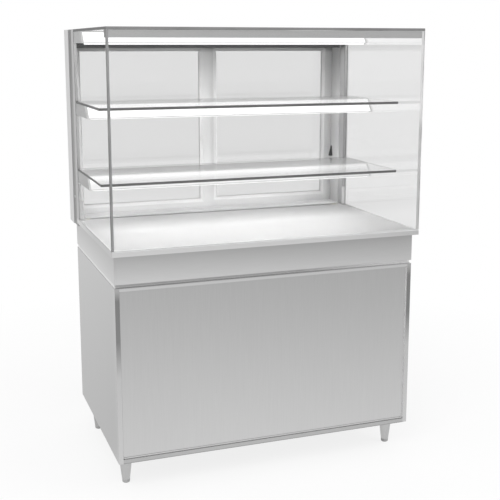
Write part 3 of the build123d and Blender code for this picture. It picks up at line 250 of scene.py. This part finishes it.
def door_profile(name, dark, light, bead, rough):
    """Silver powder coat on the door profiles; the bead round the pane and the edges of the
    profile carry a painted highlight, plain white, and are found by their normals."""
    made, tree, bsdf = surface(name, (2.0, 2.0, 2.0), dark, light, rough, detail=1.0, depth_mm=0.02,
                               IOR=1.5)
    facing = add_node(tree, "ShaderNodeNewGeometry")
    parts = add_node(tree, "ShaderNodeSeparateXYZ", None, {"Vector": facing.outputs["True Normal"]})
    size = add_node(tree, "ShaderNodeMath", {"operation": "ABSOLUTE"}, {0: parts.outputs["Y"]})
    # nearly flat on, so that the shallow slope of the bead counts too
    highlit_faces = add_node(tree, "ShaderNodeMath", {"operation": "LESS_THAN", 1: 0.99}, {0: size.outputs[0]})
    coat = bsdf.inputs["Base Color"].links[0].from_socket
    tone = add_node(tree, "ShaderNodeMix", {"data_type": "RGBA", 7: linear(bead)},
                    {0: highlit_faces.outputs[0], 6: coat})
    tree.links.new(tone.outputs[2], bsdf.inputs["Base Color"])
    return made, tree, bsdf


def satin_deck(name, dark, light, lip_dark, lip_light):
    """Stainless deck, bead blasted on top to a soft matt that glows under the lights, with a
    brushed lip outside the glass, found by its place; the top is painted lighter than the lip, as painted
    light."""
    made, tree, bsdf = surface(name, (90.0, 0.8, 0.8), dark, light, 0.7, depth_mm=0.02, Metallic=1.0)
    place = add_node(tree, "ShaderNodeTexCoord")
    parts = add_node(tree, "ShaderNodeSeparateXYZ", None, {"Vector": place.outputs["Object"]})
    top = add_node(tree, "ShaderNodeMath", {"operation": "GREATER_THAN", 1: DECK_TOP_Z},
                   {0: parts.outputs["Z"]})
    blasted = bsdf.inputs["Base Color"].links[0].from_socket
    grain = blasted.node.inputs["Fac"].links[0].from_socket
    brushed = add_node(tree, "ShaderNodeValToRGB", None, {"Fac": grain},
                       ((lip_dark, 0.3), (lip_light, 0.7)))
    tone = add_node(tree, "ShaderNodeMix", {"data_type": "RGBA"},
                    {0: top.outputs[0], 6: brushed.outputs["Color"], 7: blasted})
    tree.links.new(tone.outputs[2], bsdf.inputs["Base Color"])
    matt = add_node(tree, "ShaderNodeMapRange", {"To Min": 0.3, "To Max": 0.7}, {"Value": top.outputs[0]})
    tree.links.new(matt.outputs["Result"], bsdf.inputs["Roughness"])
    return made, tree, bsdf


def folded_panel(name, dark, light, fold):
    """Brushed side sheet whose narrow front fold carries a painted reflection of a darker part of the
    room in its upper half, short of its head; the fold is found by its normal and its height."""
    finish = brushed_steel(name, dark, light, "Z", 0.32)
    tree, bsdf = finish[1:]
    place = add_node(tree, "ShaderNodeTexCoord")
    parts = add_node(tree, "ShaderNodeSeparateXYZ", None, {"Vector": place.outputs["Object"]})
    facing = add_node(tree, "ShaderNodeNewGeometry")
    turned = add_node(tree, "ShaderNodeSeparateXYZ", None, {"Vector": facing.outputs["True Normal"]})
    ahead = add_node(tree, "ShaderNodeMath", {"operation": "LESS_THAN", 1: -ACROSS},
                     {0: turned.outputs["Y"]})
    painted_reflection_band = product_of_steps(tree, parts, (("Z", 0.37, 0.48, 0.0, 1.0), ("Z", 0.605, 0.635, 1.0, 0.2)))
    share = add_node(tree, "ShaderNodeMath", {"operation": "MULTIPLY"}, {0: painted_reflection_band, 1: ahead.outputs[0]})
    plain = bsdf.inputs["Base Color"].links[0].from_socket
    tone = add_node(tree, "ShaderNodeMix", {"data_type": "RGBA", 7: linear(fold)},
                    {0: share.outputs[0], 6: plain})
    # painted highlight: the cut edge of the fold, beside the front panel, is painted near white and keeps the
    # gap from going black
    reach = add_node(tree, "ShaderNodeMath", {"operation": "ABSOLUTE"}, {0: parts.outputs["X"]})
    inside = add_node(tree, "ShaderNodeMath", {"operation": "LESS_THAN", 1: FOLD_EDGE_X},
                      {0: reach.outputs[0]})
    painted_edge_highlight = add_node(tree, "ShaderNodeMath", {"operation": "SUBTRACT", "use_clamp": True},
                   {0: inside.outputs[0], 1: ahead.outputs[0]})
    edged = add_node(tree, "ShaderNodeMix", {"data_type": "RGBA", 7: linear("fafafa")},
                     {0: painted_edge_highlight.outputs[0], 6: tone.outputs[2]})
    tree.links.new(edged.outputs[2], bsdf.inputs["Base Color"])
    return finish


def dress(finish, *names):
    """Gives a finish to CAD nodes. A finish is a material with its tree and its shader."""
    for name in names:
        slots = NODES[name].data.materials
        slots.clear()
        slots.append(finish[0])


# Small pieces, modelled by operators

def deselect():
    """Nothing selected, object mode."""
    if bpy.context.object and bpy.context.object.mode != "OBJECT":
        bpy.ops.object.mode_set(mode="OBJECT")
    bpy.ops.object.select_all(action="DESELECT")


def finish_piece(piece, name, finish, body):
    """Applies the piece's place to its mesh, names it, gives it its finish and shades it, and puts
    it on its body."""
    deselect()
    piece.select_set(True)
    bpy.context.view_layer.objects.active = piece
    bpy.ops.object.transform_apply(location=True, rotation=True, scale=True)
    piece.name = name
    piece.data.name = name
    piece.data.materials.clear()
    piece.data.materials.append(finish[0])
    bpy.ops.object.shade_smooth_by_angle(angle=math.radians(35))
    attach(piece, body)


def bar(low, high, round_by):
    """A bar between two corners, all its edges bevelled."""
    deselect()
    middle = [(a + b) / 2 for a, b in zip(low, high)]
    bpy.ops.mesh.primitive_cube_add(size=1.0, location=middle)
    made = bpy.context.object
    made.scale = [b - a for a, b in zip(low, high)]
    bpy.ops.object.transform_apply(location=False, rotation=False, scale=True)
    bpy.ops.object.mode_set(mode="EDIT")
    bpy.ops.mesh.select_all(action="SELECT")
    bpy.ops.mesh.bevel(offset=round_by, segments=2, affect="EDGES")
    bpy.ops.object.mode_set(mode="OBJECT")
    return made


def join(pieces):
    """One object from several."""
    deselect()
    for piece in pieces:
        piece.select_set(True)
    bpy.context.view_layer.objects.active = pieces[0]
    bpy.ops.object.join()
    return pieces[0]


class CaseSizes(bpy.types.PropertyGroup):
    """Sizes of the small pieces and strengths of the lights"""
    bead: bpy.props.FloatProperty(name="Sealant bead", description="Width of the sealant bead at the glass",
                                  default=0.003, unit="LENGTH")
    screw_radius: bpy.props.FloatProperty(name="Screw head", description="Radius of the screw heads",
                                          default=0.0045, unit="LENGTH")
    gasket: bpy.props.FloatProperty(name="Gasket", description="Width of the glazing gasket",
                                    default=0.002, unit="LENGTH")
    strip_strength: bpy.props.FloatProperty(name="Strip light", description="Strength of the lit strips",
                                            default=5.0)
    lens_strength: bpy.props.FloatProperty(name="Lens light", description="Strength of the lit lenses",
                                           default=6.0)


class CASE_OT_stage(bpy.types.Operator):
    """Floor, background, lamps and camera"""
    bl_idname = "case.stage"
    bl_label = "Stage"

    def execute(self, context):
        deselect()
        bpy.ops.mesh.primitive_plane_add(size=60.0, location=(0, 0, -0.0005))
        floor = context.object
        floor.name = "floor"
        made, tree, bsdf = surface("White studio floor", (400.0, 400.0, 400.0), "f4f4f4", "f8f8f8", 0.9,
                                   detail=1.0, Specular_IOR_Level=0.1)
        # seen directly or through glass the floor fades to white away from the case; in the
        # steel it shows as a sweep that is brightest close by and on the left
        place = add_node(tree, "ShaderNodeTexCoord")
        away = add_node(tree, "ShaderNodeVectorMath", {"operation": "LENGTH"}, {0: place.outputs["Object"]})
        fade = add_node(tree, "ShaderNodeMapRange", {"From Min": 0.7, "From Max": 2.0, "To Min": 0.82},
                        {"Value": away.outputs["Value"]})
        path = add_node(tree, "ShaderNodeLightPath")
        seen = add_node(tree, "ShaderNodeMath", {"operation": "MAXIMUM"},
                        {0: path.outputs["Is Camera Ray"], 1: path.outputs["Is Transmission Ray"]})
        amount = add_node(tree, "ShaderNodeMath", {"operation": "MULTIPLY"},
                          {0: fade.outputs["Result"], 1: seen.outputs[0]})
        white = add_node(tree, "ShaderNodeEmission", {"Strength": 1.0})
        shown = add_node(tree, "ShaderNodeMixShader", None,
                         {0: amount.outputs[0], 1: bsdf.outputs[0], 2: white.outputs[0]})
        parts = add_node(tree, "ShaderNodeSeparateXYZ", None, {"Vector": place.outputs["Object"]})
        sweep = product_of_steps(tree, parts, (("Y", -3.2, -0.6, 0.72, 1.16), ("X", 0.0, 2.4, 1.03, 0.86),
                                               ("Y", -0.45, 0.0, 1.0, 0.7), ("Y", 0.0, 2.8, 1.0, 1.18)))
        mirrored = add_node(tree, "ShaderNodeEmission", None, {"Strength": sweep})
        # a sharp ray through glass counts as a glossy one too, and must not take the sweep
        not_glass = add_node(tree, "ShaderNodeMath", {"operation": "SUBTRACT", 0: 1.0},
                             {1: path.outputs["Is Transmission Ray"]})
        in_metal = add_node(tree, "ShaderNodeMath", {"operation": "MULTIPLY"},
                            {0: path.outputs["Is Glossy Ray"], 1: not_glass.outputs[0]})
        both = add_node(tree, "ShaderNodeMixShader", None,
                        {0: in_metal.outputs[0], 1: shown.outputs[0], 2: mirrored.outputs[0]})
        tree.links.new(both.outputs[0], tree.nodes["Material Output"].inputs["Surface"])
        floor.data.materials.append(made)

        world = bpy.data.worlds.new("Studio")
        context.scene.world = world
        world.use_nodes = True
        tree = world.node_tree
        path = add_node(tree, "ShaderNodeLightPath")
        seen = add_node(tree, "ShaderNodeMath", {"operation": "MAXIMUM"},
                        {0: path.outputs["Is Camera Ray"], 1: path.outputs["Is Transmission Ray"]})
        # the room looks white wherever it is seen, and lights the case a little less
        either = add_node(tree, "ShaderNodeMath", {"operation": "MAXIMUM"},
                          {0: seen.outputs[0], 1: path.outputs["Is Glossy Ray"]})
        level = add_node(tree, "ShaderNodeMapRange", {"To Min": 0.7, "To Max": 1.0},
                         {"Value": either.outputs[0]})
        tree.nodes["Background"].inputs["Color"].default_value = linear("ffffff")
        tree.links.new(level.outputs["Result"], tree.nodes["Background"].inputs["Strength"])

        for name, place, power, size in (("key", (-2.2, -2.6, 3.2), 75.0, 2.2),
                                         ("fill", (2.8, -2.0, 2.2), 30.0, 2.4)):
            lamp = bpy.data.lights.new(name, "AREA")
            lamp.energy = power
            lamp.size = size
            holder = bpy.data.objects.new(name, lamp)
            holder.location = place
            toward_case = Vector((0, 0, 0.7)) - Vector(place)
            holder.rotation_euler = toward_case.to_track_quat("-Z", "Y").to_euler()
            context.scene.collection.objects.link(holder)

        # lens, place and turn were solved from the edges of the case
        lens = bpy.data.cameras.new("Camera")
        lens.lens = 67.754
        lens.sensor_width = 36.0
        lens.shift_y = -0.064
        camera = bpy.data.objects.new("Camera", lens)
        camera.location = (-1.0257, -2.9712, 1.3448)
        camera.rotation_euler = (math.radians(79.554), 0.0, math.radians(-19.941))
        context.scene.collection.objects.link(camera)
        context.scene.camera = camera
        context.scene.view_settings.view_transform = "Standard"
        return {"FINISHED"}


class CASE_OT_finishes(bpy.types.Operator):
    """Materials of the frame's own parts"""
    bl_idname = "case.finishes"
    bl_label = "Finishes"

    def execute(self, context):
        sizes = context.scene.case_sizes

        # steel sheet: each tone is a painted reflection, standing for what that part of it mirrors in the
        # room
        dress(brushed_steel("Brushed stainless front", "b8b8b8", "bebebe", "Z", 0.3), "front_panel")
        sides = folded_panel("Brushed stainless side", "b4b4b4", "bababa", "848484")
        # painted highlight: the sides are lighter over their front 30 mm, at the bend
        dress(paint_light_along(sides, ("Y", -0.33, -0.298, 1.07, 1.0)), "side_panel_left", "side_panel_right")
        dress(brushed_steel("Brushed stainless rail", "cccccc", "d4d4d4", "X", 0.3), "upper_rail")
        dress(brushed_steel("Brushed stainless sheet", "bebebe", "c6c6c6", "X", 0.32), "lower_rail",
              "rear_panel")
        # painted shadow: the foot of the tray's lip is darkened at its bend
        tray = brushed_steel("Brushed stainless tray", "a6a6a6", "aeaeae", "X", 0.32)
        dress(paint_light_along(tray, ("Z", 0.0965, 0.099, 0.6, 1.0)), "base_tray")
        # painted shade: the tank is darker at the top, under the deck's overhang, lighter low down, darker on
        # its left end face and toward the right
        tank = brushed_steel("Brushed stainless tank", "b4b4b4", "bababa", "X", 0.33)
        dress(paint_light_along(tank, ("Z", 0.654, 0.75, 1.36, 0.93), ("X", -0.4899, -0.489, 0.84, 1.0),
                         ("X", -0.45, 0.45, 1.05, 0.96)), "tank_skin")
        dress(brushed_steel("Plain stainless sheet", "b4b4b4", "bcbcbc", "X", 0.33),
              "tank_liner", "cabinet_top", "condensate_tray")
        deck = satin_deck("Satin stainless deck", "eeeeee", "f4f4f4", "eaeaea", "f2f2f2")
        # painted light and shade: the deck's left end face is darker, the deck darker toward the right and at
        # the front, lighter at the back
        dress(paint_light_along(deck, ("X", -0.4999, -0.499, 0.6, 1.0), ("X", 0.2, 0.5, 1.0, 0.85),
                         ("Y", -0.1, 0.17, 0.87, 1.08)), "deck")

        # profiles: the two posts carry painted reflections, lighter or darker in front and on their flanks,
        # for the different parts of the room they mirror
        for side, front, flank in (("left", 1.25, 1.0), ("right", 0.85, 1.35)):
            post = anodised("Satin anodised post " + side, "acacac", "b4b4b4", 0.38)
            dress(paint_light_along(post, ("Y", 0.1775, 0.185, front, flank)), "post_" + side)
        dress(anodised("Bright anodised aluminium", "c9c9c9", "d2d2d2", 0.38), "post_feet", "jamb_left",
              "jamb_right")
        dress(anodised("Turned stainless leg", "b0b0b0", "b8b8b8", 0.34), "legs")
        doors = door_profile("Silver coated door profile", "f0f0f0", "f6f6f6", "ffffff", 0.4)
        # painted light and shade: the profiles and sill are lighter below 0.78 m than above 0.86 m, and a
        # painted shadow darkens their heads above 1.32 m
        dress(paint_light_along(doors, ("Z", 0.78, 0.86, 1.0, 0.8), ("Z", 1.316, 1.333, 1.0, 0.45)),
              "door_left_frame", "door_right_frame", "rear_sill")
        dress(anodised("Mill aluminium fins", "b0b3b5", "c2c5c7", 0.45), "evaporator", "condenser",
              "condenser_fan")
        dress(coated("Grey coated top profile", "a4a4a4", "aaaaaa", 0.4), "top_profile", "light_beam_top")
        dress(coated("Grey coated beam", "c4c4c4", "cacaca", 0.4), "light_beam_upper", "light_beam_lower")
        dress(coated("Light coated bracket", "c4c4c4", "cacaca", 0.4), "beam_brackets")

        # plastics, board and rubber
        # the rail's dark grey is partly its own PVC colour and partly painted shade, for the shade under the
        # beam housing
        dress(moulded("Dark grey PVC", "3c3c3c", "444444", 0.5), "rear_top_rail")
        strips = moulded("Mid grey PVC", "b8b8b8", "c0c0c0", 0.5)
        # painted light and shade: the strips are lighter at their front, darker toward the top, and their
        # outer left face is darker
        dress(paint_light_along(strips, ("Y", 0.217, 0.28, 1.35, 1.0), ("Z", 1.1, 1.3, 1.1, 0.72),
                         ("X", -0.4965, -0.49, 0.4, 1.0)), "jamb_strips")
        laminate = moulded("Grey laminate on board", "bcbcbc", "c4c4c4", 0.4)
        # painted light: a bright line on the band's left end face, and the band painted lighter toward the
        # right
        dress(paint_light_along(laminate, ("X", -0.4865, -0.484, 1.32, 1.0), ("X", 0.1, 0.4, 1.0, 1.6)),
              "spacer_board")
        dress(moulded("Black moulded nylon", "161616", "202020", 0.45), "door_left_pull", "door_right_pull",
              "thermostat_knob", "power_switch", "light_switch", "switch_housings", "control_plate",
              "cable_gland", "evaporator_fan_frames", "evaporator_fan_left", "evaporator_fan_right",
              "drain_pipe")
        dress(moulded("Grey rubber", "aaaaaa", "b4b4b4", 0.75), "leg_feet")
        dress(moulded("Rigid foam", "d8cda0", "e2d8b0", 0.85, 1.5), "tank_foam")

        # machine parts
        dress(coated("Black enamel", "101010", "1a1a1a", 0.3), "compressor", "fan_motor")
        dress(coated("Galvanised sheet", "9fa2a4", "b4b7b9", 0.42), "fan_shroud")
        dress(anodised("Drawn copper", "b9754f", "c98762", 0.3), "refrigerant_lines")

        # glass and lenses
        # painted light: the front glass's edges are much lighter on its right half
        dress(float_glass("Clear front glass", "Y", "484848", "808080", 1.0, ("X", -0.1, 0.1, 1.0, 3.5)),
              "front_glass")
        dress(float_glass("Clear door glass", "Y", "b0b0b0", "c0c0c0", 1.0), "door_left_glass",
              "door_right_glass")
        dress(float_glass("Clear left side glass", "X", "848484", "989898", 0.1), "side_glass_left")
        # painted light: the right side glass's edges are lighter, and more so up high
        dress(float_glass("Clear right side glass", "X", "a0a0a0", "b4b4b4", 1.9,
                          ("Z", 1.07, 1.15, 1.25, 1.7)), "side_glass_right")
        # painted shade: the top glass's left edge face is darker
        dress(float_glass("Clear top glass", "Z", "767676", "848484", 0.6,
                          ("X", -0.4999, -0.499, 0.5, 1.0)), "top_glass")
        dress(float_glass("Clear shelf glass", "Z", "5c5c5c", "6a6a6a", 0.6), "shelf_upper", "shelf_lower")
        dress(paint_shade_on_low_lens(lit_lens("Opal lit lens", sizes.lens_strength)), "lenses")
        return {"FINISHED"}


class CASE_OT_sealant(bpy.types.Operator):
    """Sealant beads where the glass walls stand on the deck"""
    bl_idname = "case.sealant"
    bl_label = "Glass sealant"

    def execute(self, context):
        width = context.scene.case_sizes.bead
        low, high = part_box("front_glass")
        side_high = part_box("side_glass_left")[1]
        inner = side_high.x
        base = low.z
        runs = [((inner, high.y, base), (-inner, high.y + width, base + width)),
                ((inner, high.y + width, base), (inner + width, side_high.y, base + width)),
                ((-inner - width, high.y + width, base), (-inner, side_high.y, base + width))]
        bead = join([bar(a, b, width * 0.3) for a, b in runs])
        # neutral cure silicone, tooled with a wet finger: opaque white, soft sheen
        silicone = surface("White glazing silicone", (20.0, 20.0, 20.0), "f6f6f6", "fefefe", 0.35, detail=1.0,
                           IOR=1.43)
        # painted shade: the bead darkens toward the right
        paint_light_along(silicone, ("X", 0.1, 0.5, 1.0, 0.75))
        finish_piece(bead, "glass_sealant", silicone, "case")
        return {"FINISHED"}


class CASE_OT_strips(bpy.types.Operator):
    """Lit strips under the beams, which light the goods below, and behind the shelf beams"""
    bl_idname = "case.strips"
    bl_label = "Light strips"

    def execute(self, context):
        sizes = context.scene.case_sizes
        glow = lit_lens("Opal strip", sizes.strip_strength)
        end_gap, front_gap, reach = 0.006, 0.002, 0.038
        rear_thick, rear_foot, rear_head = 0.002, 0.026, 0.012
        rounding = 0.0006
        for name, drop in (("top", 0.0045), ("upper", 0.002), ("lower", 0.002)):
            low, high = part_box("light_beam_" + name)
            left, right = low.x + end_gap, high.x - end_gap
            strips = [bar((left, low.y + front_gap, low.z - drop), (right, low.y + reach, low.z), rounding)]
            if name != "top":
                strips.append(bar((left, high.y, high.z - rear_foot),
                                  (right, high.y + rear_thick, high.z - rear_head), rounding))
            finish_piece(join(strips), "light_strip_" + name, glow, "case")
        return {"FINISHED"}


class CASE_OT_buffer(bpy.types.Operator):
    """Wedge shaped rubber buffer on the right jamb strip, which the right door closes against"""
    bl_idname = "case.buffer"
    bl_label = "Door buffer"

    def execute(self, context):
        rubber = moulded("Black rubber", "1a1a1a", "262626", 0.7)
        width, depth, foot, head, rounding = 0.011, 0.014, 0.93, 0.968, 0.001
        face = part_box("jamb_right")[0].x
        short = 0.001
        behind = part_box("jamb_strips")[1].y - short
        wedge = bar((face - width, behind - depth, foot), (face, behind, head), rounding)
        bpy.ops.object.mode_set(mode="EDIT")
        shape = bmesh.from_edit_mesh(wedge.data)
        for vert in shape.verts:
            vert.select = vert.co.z > 0
        shape.select_flush(True)
        bmesh.update_edit_mesh(wedge.data)
        # the head narrows toward the jamb and the back
        bpy.ops.transform.resize(value=(0.15, 0.5, 1.0), center_override=(face, behind, 0.95))
        bpy.ops.object.mode_set(mode="OBJECT")
        finish_piece(wedge, "door_buffer", rubber, "case")
        return {"FINISHED"}


class CASE_OT_gaskets(bpy.types.Operator):
    """Glazing gaskets round both faces of the door panes, and the brush between the doors"""
    bl_idname = "case.gaskets"
    bl_label = "Door gaskets"

    def execute(self, context):
        sizes = context.scene.case_sizes
        rubber = moulded("White glazing seal", "f0f0f0", "fafafa", 0.6)
        pile = moulded("Black brush pile", "141414", "242424", 0.95, 0.9)
        inset = 0.006
        reach = sizes.gasket
        for name in ("left", "right"):
            pane_low, pane_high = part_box(f"door_{name}_glass")
            sides = []
            for face, outward in ((pane_low.y, -1), (pane_high.y, 1)):
                near, far = sorted((face, face + outward * reach))
                left, right = pane_low.x + inset, pane_high.x - inset
                foot, head = pane_low.z + inset, pane_high.z - inset
                sides += [bar((left, near, foot), (right, far, foot + reach), reach * 0.3),
                          bar((left, near, head - reach), (right, far, head), reach * 0.3),
                          bar((left, near, foot + reach), (left + reach, far, head - reach), reach * 0.3),
                          bar((right - reach, near, foot + reach), (right, far, head - reach), reach * 0.3)]
            finish_piece(join(sides), f"door_{name}_gasket", rubber, f"door_{name}")
        low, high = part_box("door_left_frame")
        # 4 mm wide and 5 mm deep, clear of the sill and of the head track
        brush = bar((high.x - 0.006, high.y, low.z + 0.012), (high.x - 0.002, high.y + 0.005, high.z - 0.03),
                    0.0008)
        finish_piece(brush, "door_brush", pile, "door_left")
        return {"FINISHED"}


class CASE_OT_seal(bpy.types.Operator):
    """Foam seal in the gap along the foot and both sides of the front panel"""
    bl_idname = "case.seal"
    bl_label = "Panel seal"

    def execute(self, context):
        foam = moulded("Light grey foam seal", "c8c8c8", "d4d4d4", 0.9, 1.2)
        low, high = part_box("front_panel")
        gap, clear = 0.001, 0.0001
        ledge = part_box("base_tray")[1].z - gap
        wall = low.x - gap
        near, far = low.y + 0.0005, low.y + 0.007
        runs = [((wall + clear, near, ledge + 2 * clear), (-wall - clear, far, low.z - clear))]
        for side in (-1, 1):
            start, end = sorted((side * (high.x + clear), side * (-wall - clear)))
            runs.append(((start, near, low.z), (end, far, high.z - gap)))
        finish_piece(join([bar(a, b, clear) for a, b in runs]), "panel_seal", foam, "case")
        return {"FINISHED"}


class CASE_OT_screws(bpy.types.Operator):
    """Pan head screws with round sockets, on the rear panel, control plate, strips and leg flanges"""
    bl_idname = "case.screws"
    bl_label = "Screws"

    def execute(self, context):
        zinc = anodised("Zinc plated steel", "e2e4e5", "eeeff0", 0.3)
        radius = context.scene.case_sizes.screw_radius
        small = radius * 0.7
        louvre_reach = inset = 0.007
        columns, rows = (-0.474, 0, 0.474), (0.126, 0.628)
        strip_y, strip_z = 0.26, 0.828
        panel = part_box("rear_panel")[1].y - louvre_reach
        plate_low, plate_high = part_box("control_plate")
        strip_low, strip_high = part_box("jamb_strips")
        places = [((x, panel, z), (0, 1, 0), radius) for x in columns for z in rows]
        places += [((x, plate_high.y, z), (0, 1, 0), small)
                   for x in (plate_low.x + inset, plate_high.x - inset)
                   for z in (plate_low.z + inset, plate_high.z - inset)]
        places += [((strip_low.x, strip_y, strip_z), (-1, 0, 0), radius),
                   ((strip_high.x, strip_y, strip_z), (1, 0, 0), radius)]
        leg_low, leg_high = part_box("legs")
        # a flange's radius and thickness, and the radius of its ring of screws
        flange, thick, ring = 0.031, 0.004, 0.0265
        for x in (leg_low.x + flange, leg_high.x - flange):
            for y in (leg_low.y + flange, leg_high.y - flange):
                for turn in (45, 135, 225, 315):
                    angle = math.radians(turn)
                    spot = (x + ring * math.cos(angle), y + ring * math.sin(angle), leg_high.z - thick)
                    places.append((spot, (0, 0, -1), small))
        heads = [screw_head(*place) for place in places]
        finish_piece(join(heads), "screws", zinc, "case")
        return {"FINISHED"}


def screw_head(place, outward, radius):
    """Pan head with a round socket, its underside on place, facing outward."""
    deselect()
    height = radius * 0.55
    bpy.ops.mesh.primitive_cylinder_add(vertices=24, radius=radius, depth=height, location=(0, 0, height / 2))
    head = bpy.context.object
    bpy.ops.object.mode_set(mode="EDIT")
    shape = bmesh.from_edit_mesh(head.data)
    for face in shape.faces:
        face.select = face.normal.z > ACROSS
    bmesh.update_edit_mesh(head.data)
    bpy.ops.mesh.inset(thickness=radius * 0.45)
    bpy.ops.mesh.extrude_region_move(TRANSFORM_OT_translate={"value": (0, 0, -height * 0.6)})
    bpy.ops.mesh.select_all(action="DESELECT")
    shape = bmesh.from_edit_mesh(head.data)
    for edge in shape.edges:
        ends = [v.co for v in edge.verts]
        edge.select = all(abs(c.z - height) < 1e-6 and c.xy.length > radius * 0.95 for c in ends)
    bmesh.update_edit_mesh(head.data)
    bpy.ops.mesh.bevel(offset=height * 0.6, segments=3, affect="EDGES")
    bpy.ops.object.mode_set(mode="OBJECT")
    head.rotation_euler = Vector(outward).to_track_quat("Z", "Y").to_euler()
    head.location = place
    bpy.ops.object.transform_apply(location=True, rotation=True, scale=False)
    return head


class CASE_OT_dial(bpy.types.Operator):
    """Printed ticks round the thermostat knob and the pointer line on it"""
    bl_idname = "case.dial"
    bl_label = "Dial marks"

    def execute(self, context):
        white = moulded("White pad print", "e8e8e8", "f2f2f2", 0.6)
        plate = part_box("control_plate")[1].y
        low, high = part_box("thermostat_knob")
        centre = ((low.x + high.x) / 2, (low.z + high.z) / 2)
        inner, outer, thick, rounding = 0.0205, 0.0235, 0.0003, 0.0001
        ticks = []
        for step in range(10):
            half = 0.0004 + 0.00008 * step
            tick = bar((-half, 0, inner), (half, thick, outer), rounding)
            bpy.ops.object.transform_apply(location=True, rotation=False, scale=False)
            # clockwise from the top, as staff see it, like the knob's own travel
            tick.rotation_euler = (0, -math.radians(30 * step), 0)
            tick.location = (centre[0], plate, centre[1])
            bpy.ops.object.transform_apply(location=True, rotation=True, scale=False)
            ticks.append(tick)
        finish_piece(join(ticks), "dial_ticks", white, "case")
        half, start, end = 0.0007, 0.003, 0.0135
        line = bar((centre[0] - half, high.y, centre[1] + start),
                   (centre[0] + half, high.y + thick, centre[1] + end), rounding)
        finish_piece(line, "knob_line", white, "thermostat_knob_body")
        return {"FINISHED"}


class CASE_PT_sidebar(bpy.types.Panel):
    """Buttons for the stage, the finishes and the small pieces"""
    bl_idname = "CASE_PT_sidebar"
    bl_label = "Display case"
    bl_space_type = "VIEW_3D"
    bl_region_type = "UI"
    bl_category = "Display case"

    def draw(self, context):
        for item in ("bead", "gasket", "screw_radius", "lens_strength", "strip_strength"):
            self.layout.prop(context.scene.case_sizes, item)
        for step in ("stage", "finishes", "sealant", "strips", "buffer", "gaskets", "seal", "screws", "dial"):
            self.layout.operator("case." + step)


CLASSES = (CaseSizes, CASE_OT_stage, CASE_OT_finishes, CASE_OT_sealant, CASE_OT_strips, CASE_OT_buffer,
           CASE_OT_gaskets, CASE_OT_seal, CASE_OT_screws, CASE_OT_dial, CASE_PT_sidebar)


def register():
    for item in CLASSES:
        bpy.utils.register_class(item)
    bpy.types.Scene.case_sizes = bpy.props.PointerProperty(type=CaseSizes)


def unregister():
    del bpy.types.Scene.case_sizes
    for item in reversed(CLASSES):
        bpy.utils.unregister_class(item)


def main():
    register()
    bpy.ops.case.stage()
    bpy.ops.case.finishes()
    bpy.ops.case.sealant()
    bpy.ops.case.strips()
    bpy.ops.case.buffer()
    bpy.ops.case.gaskets()
    bpy.ops.case.seal()
    bpy.ops.case.screws()
    bpy.ops.case.dial()


if __name__ == "__main__":
    main()
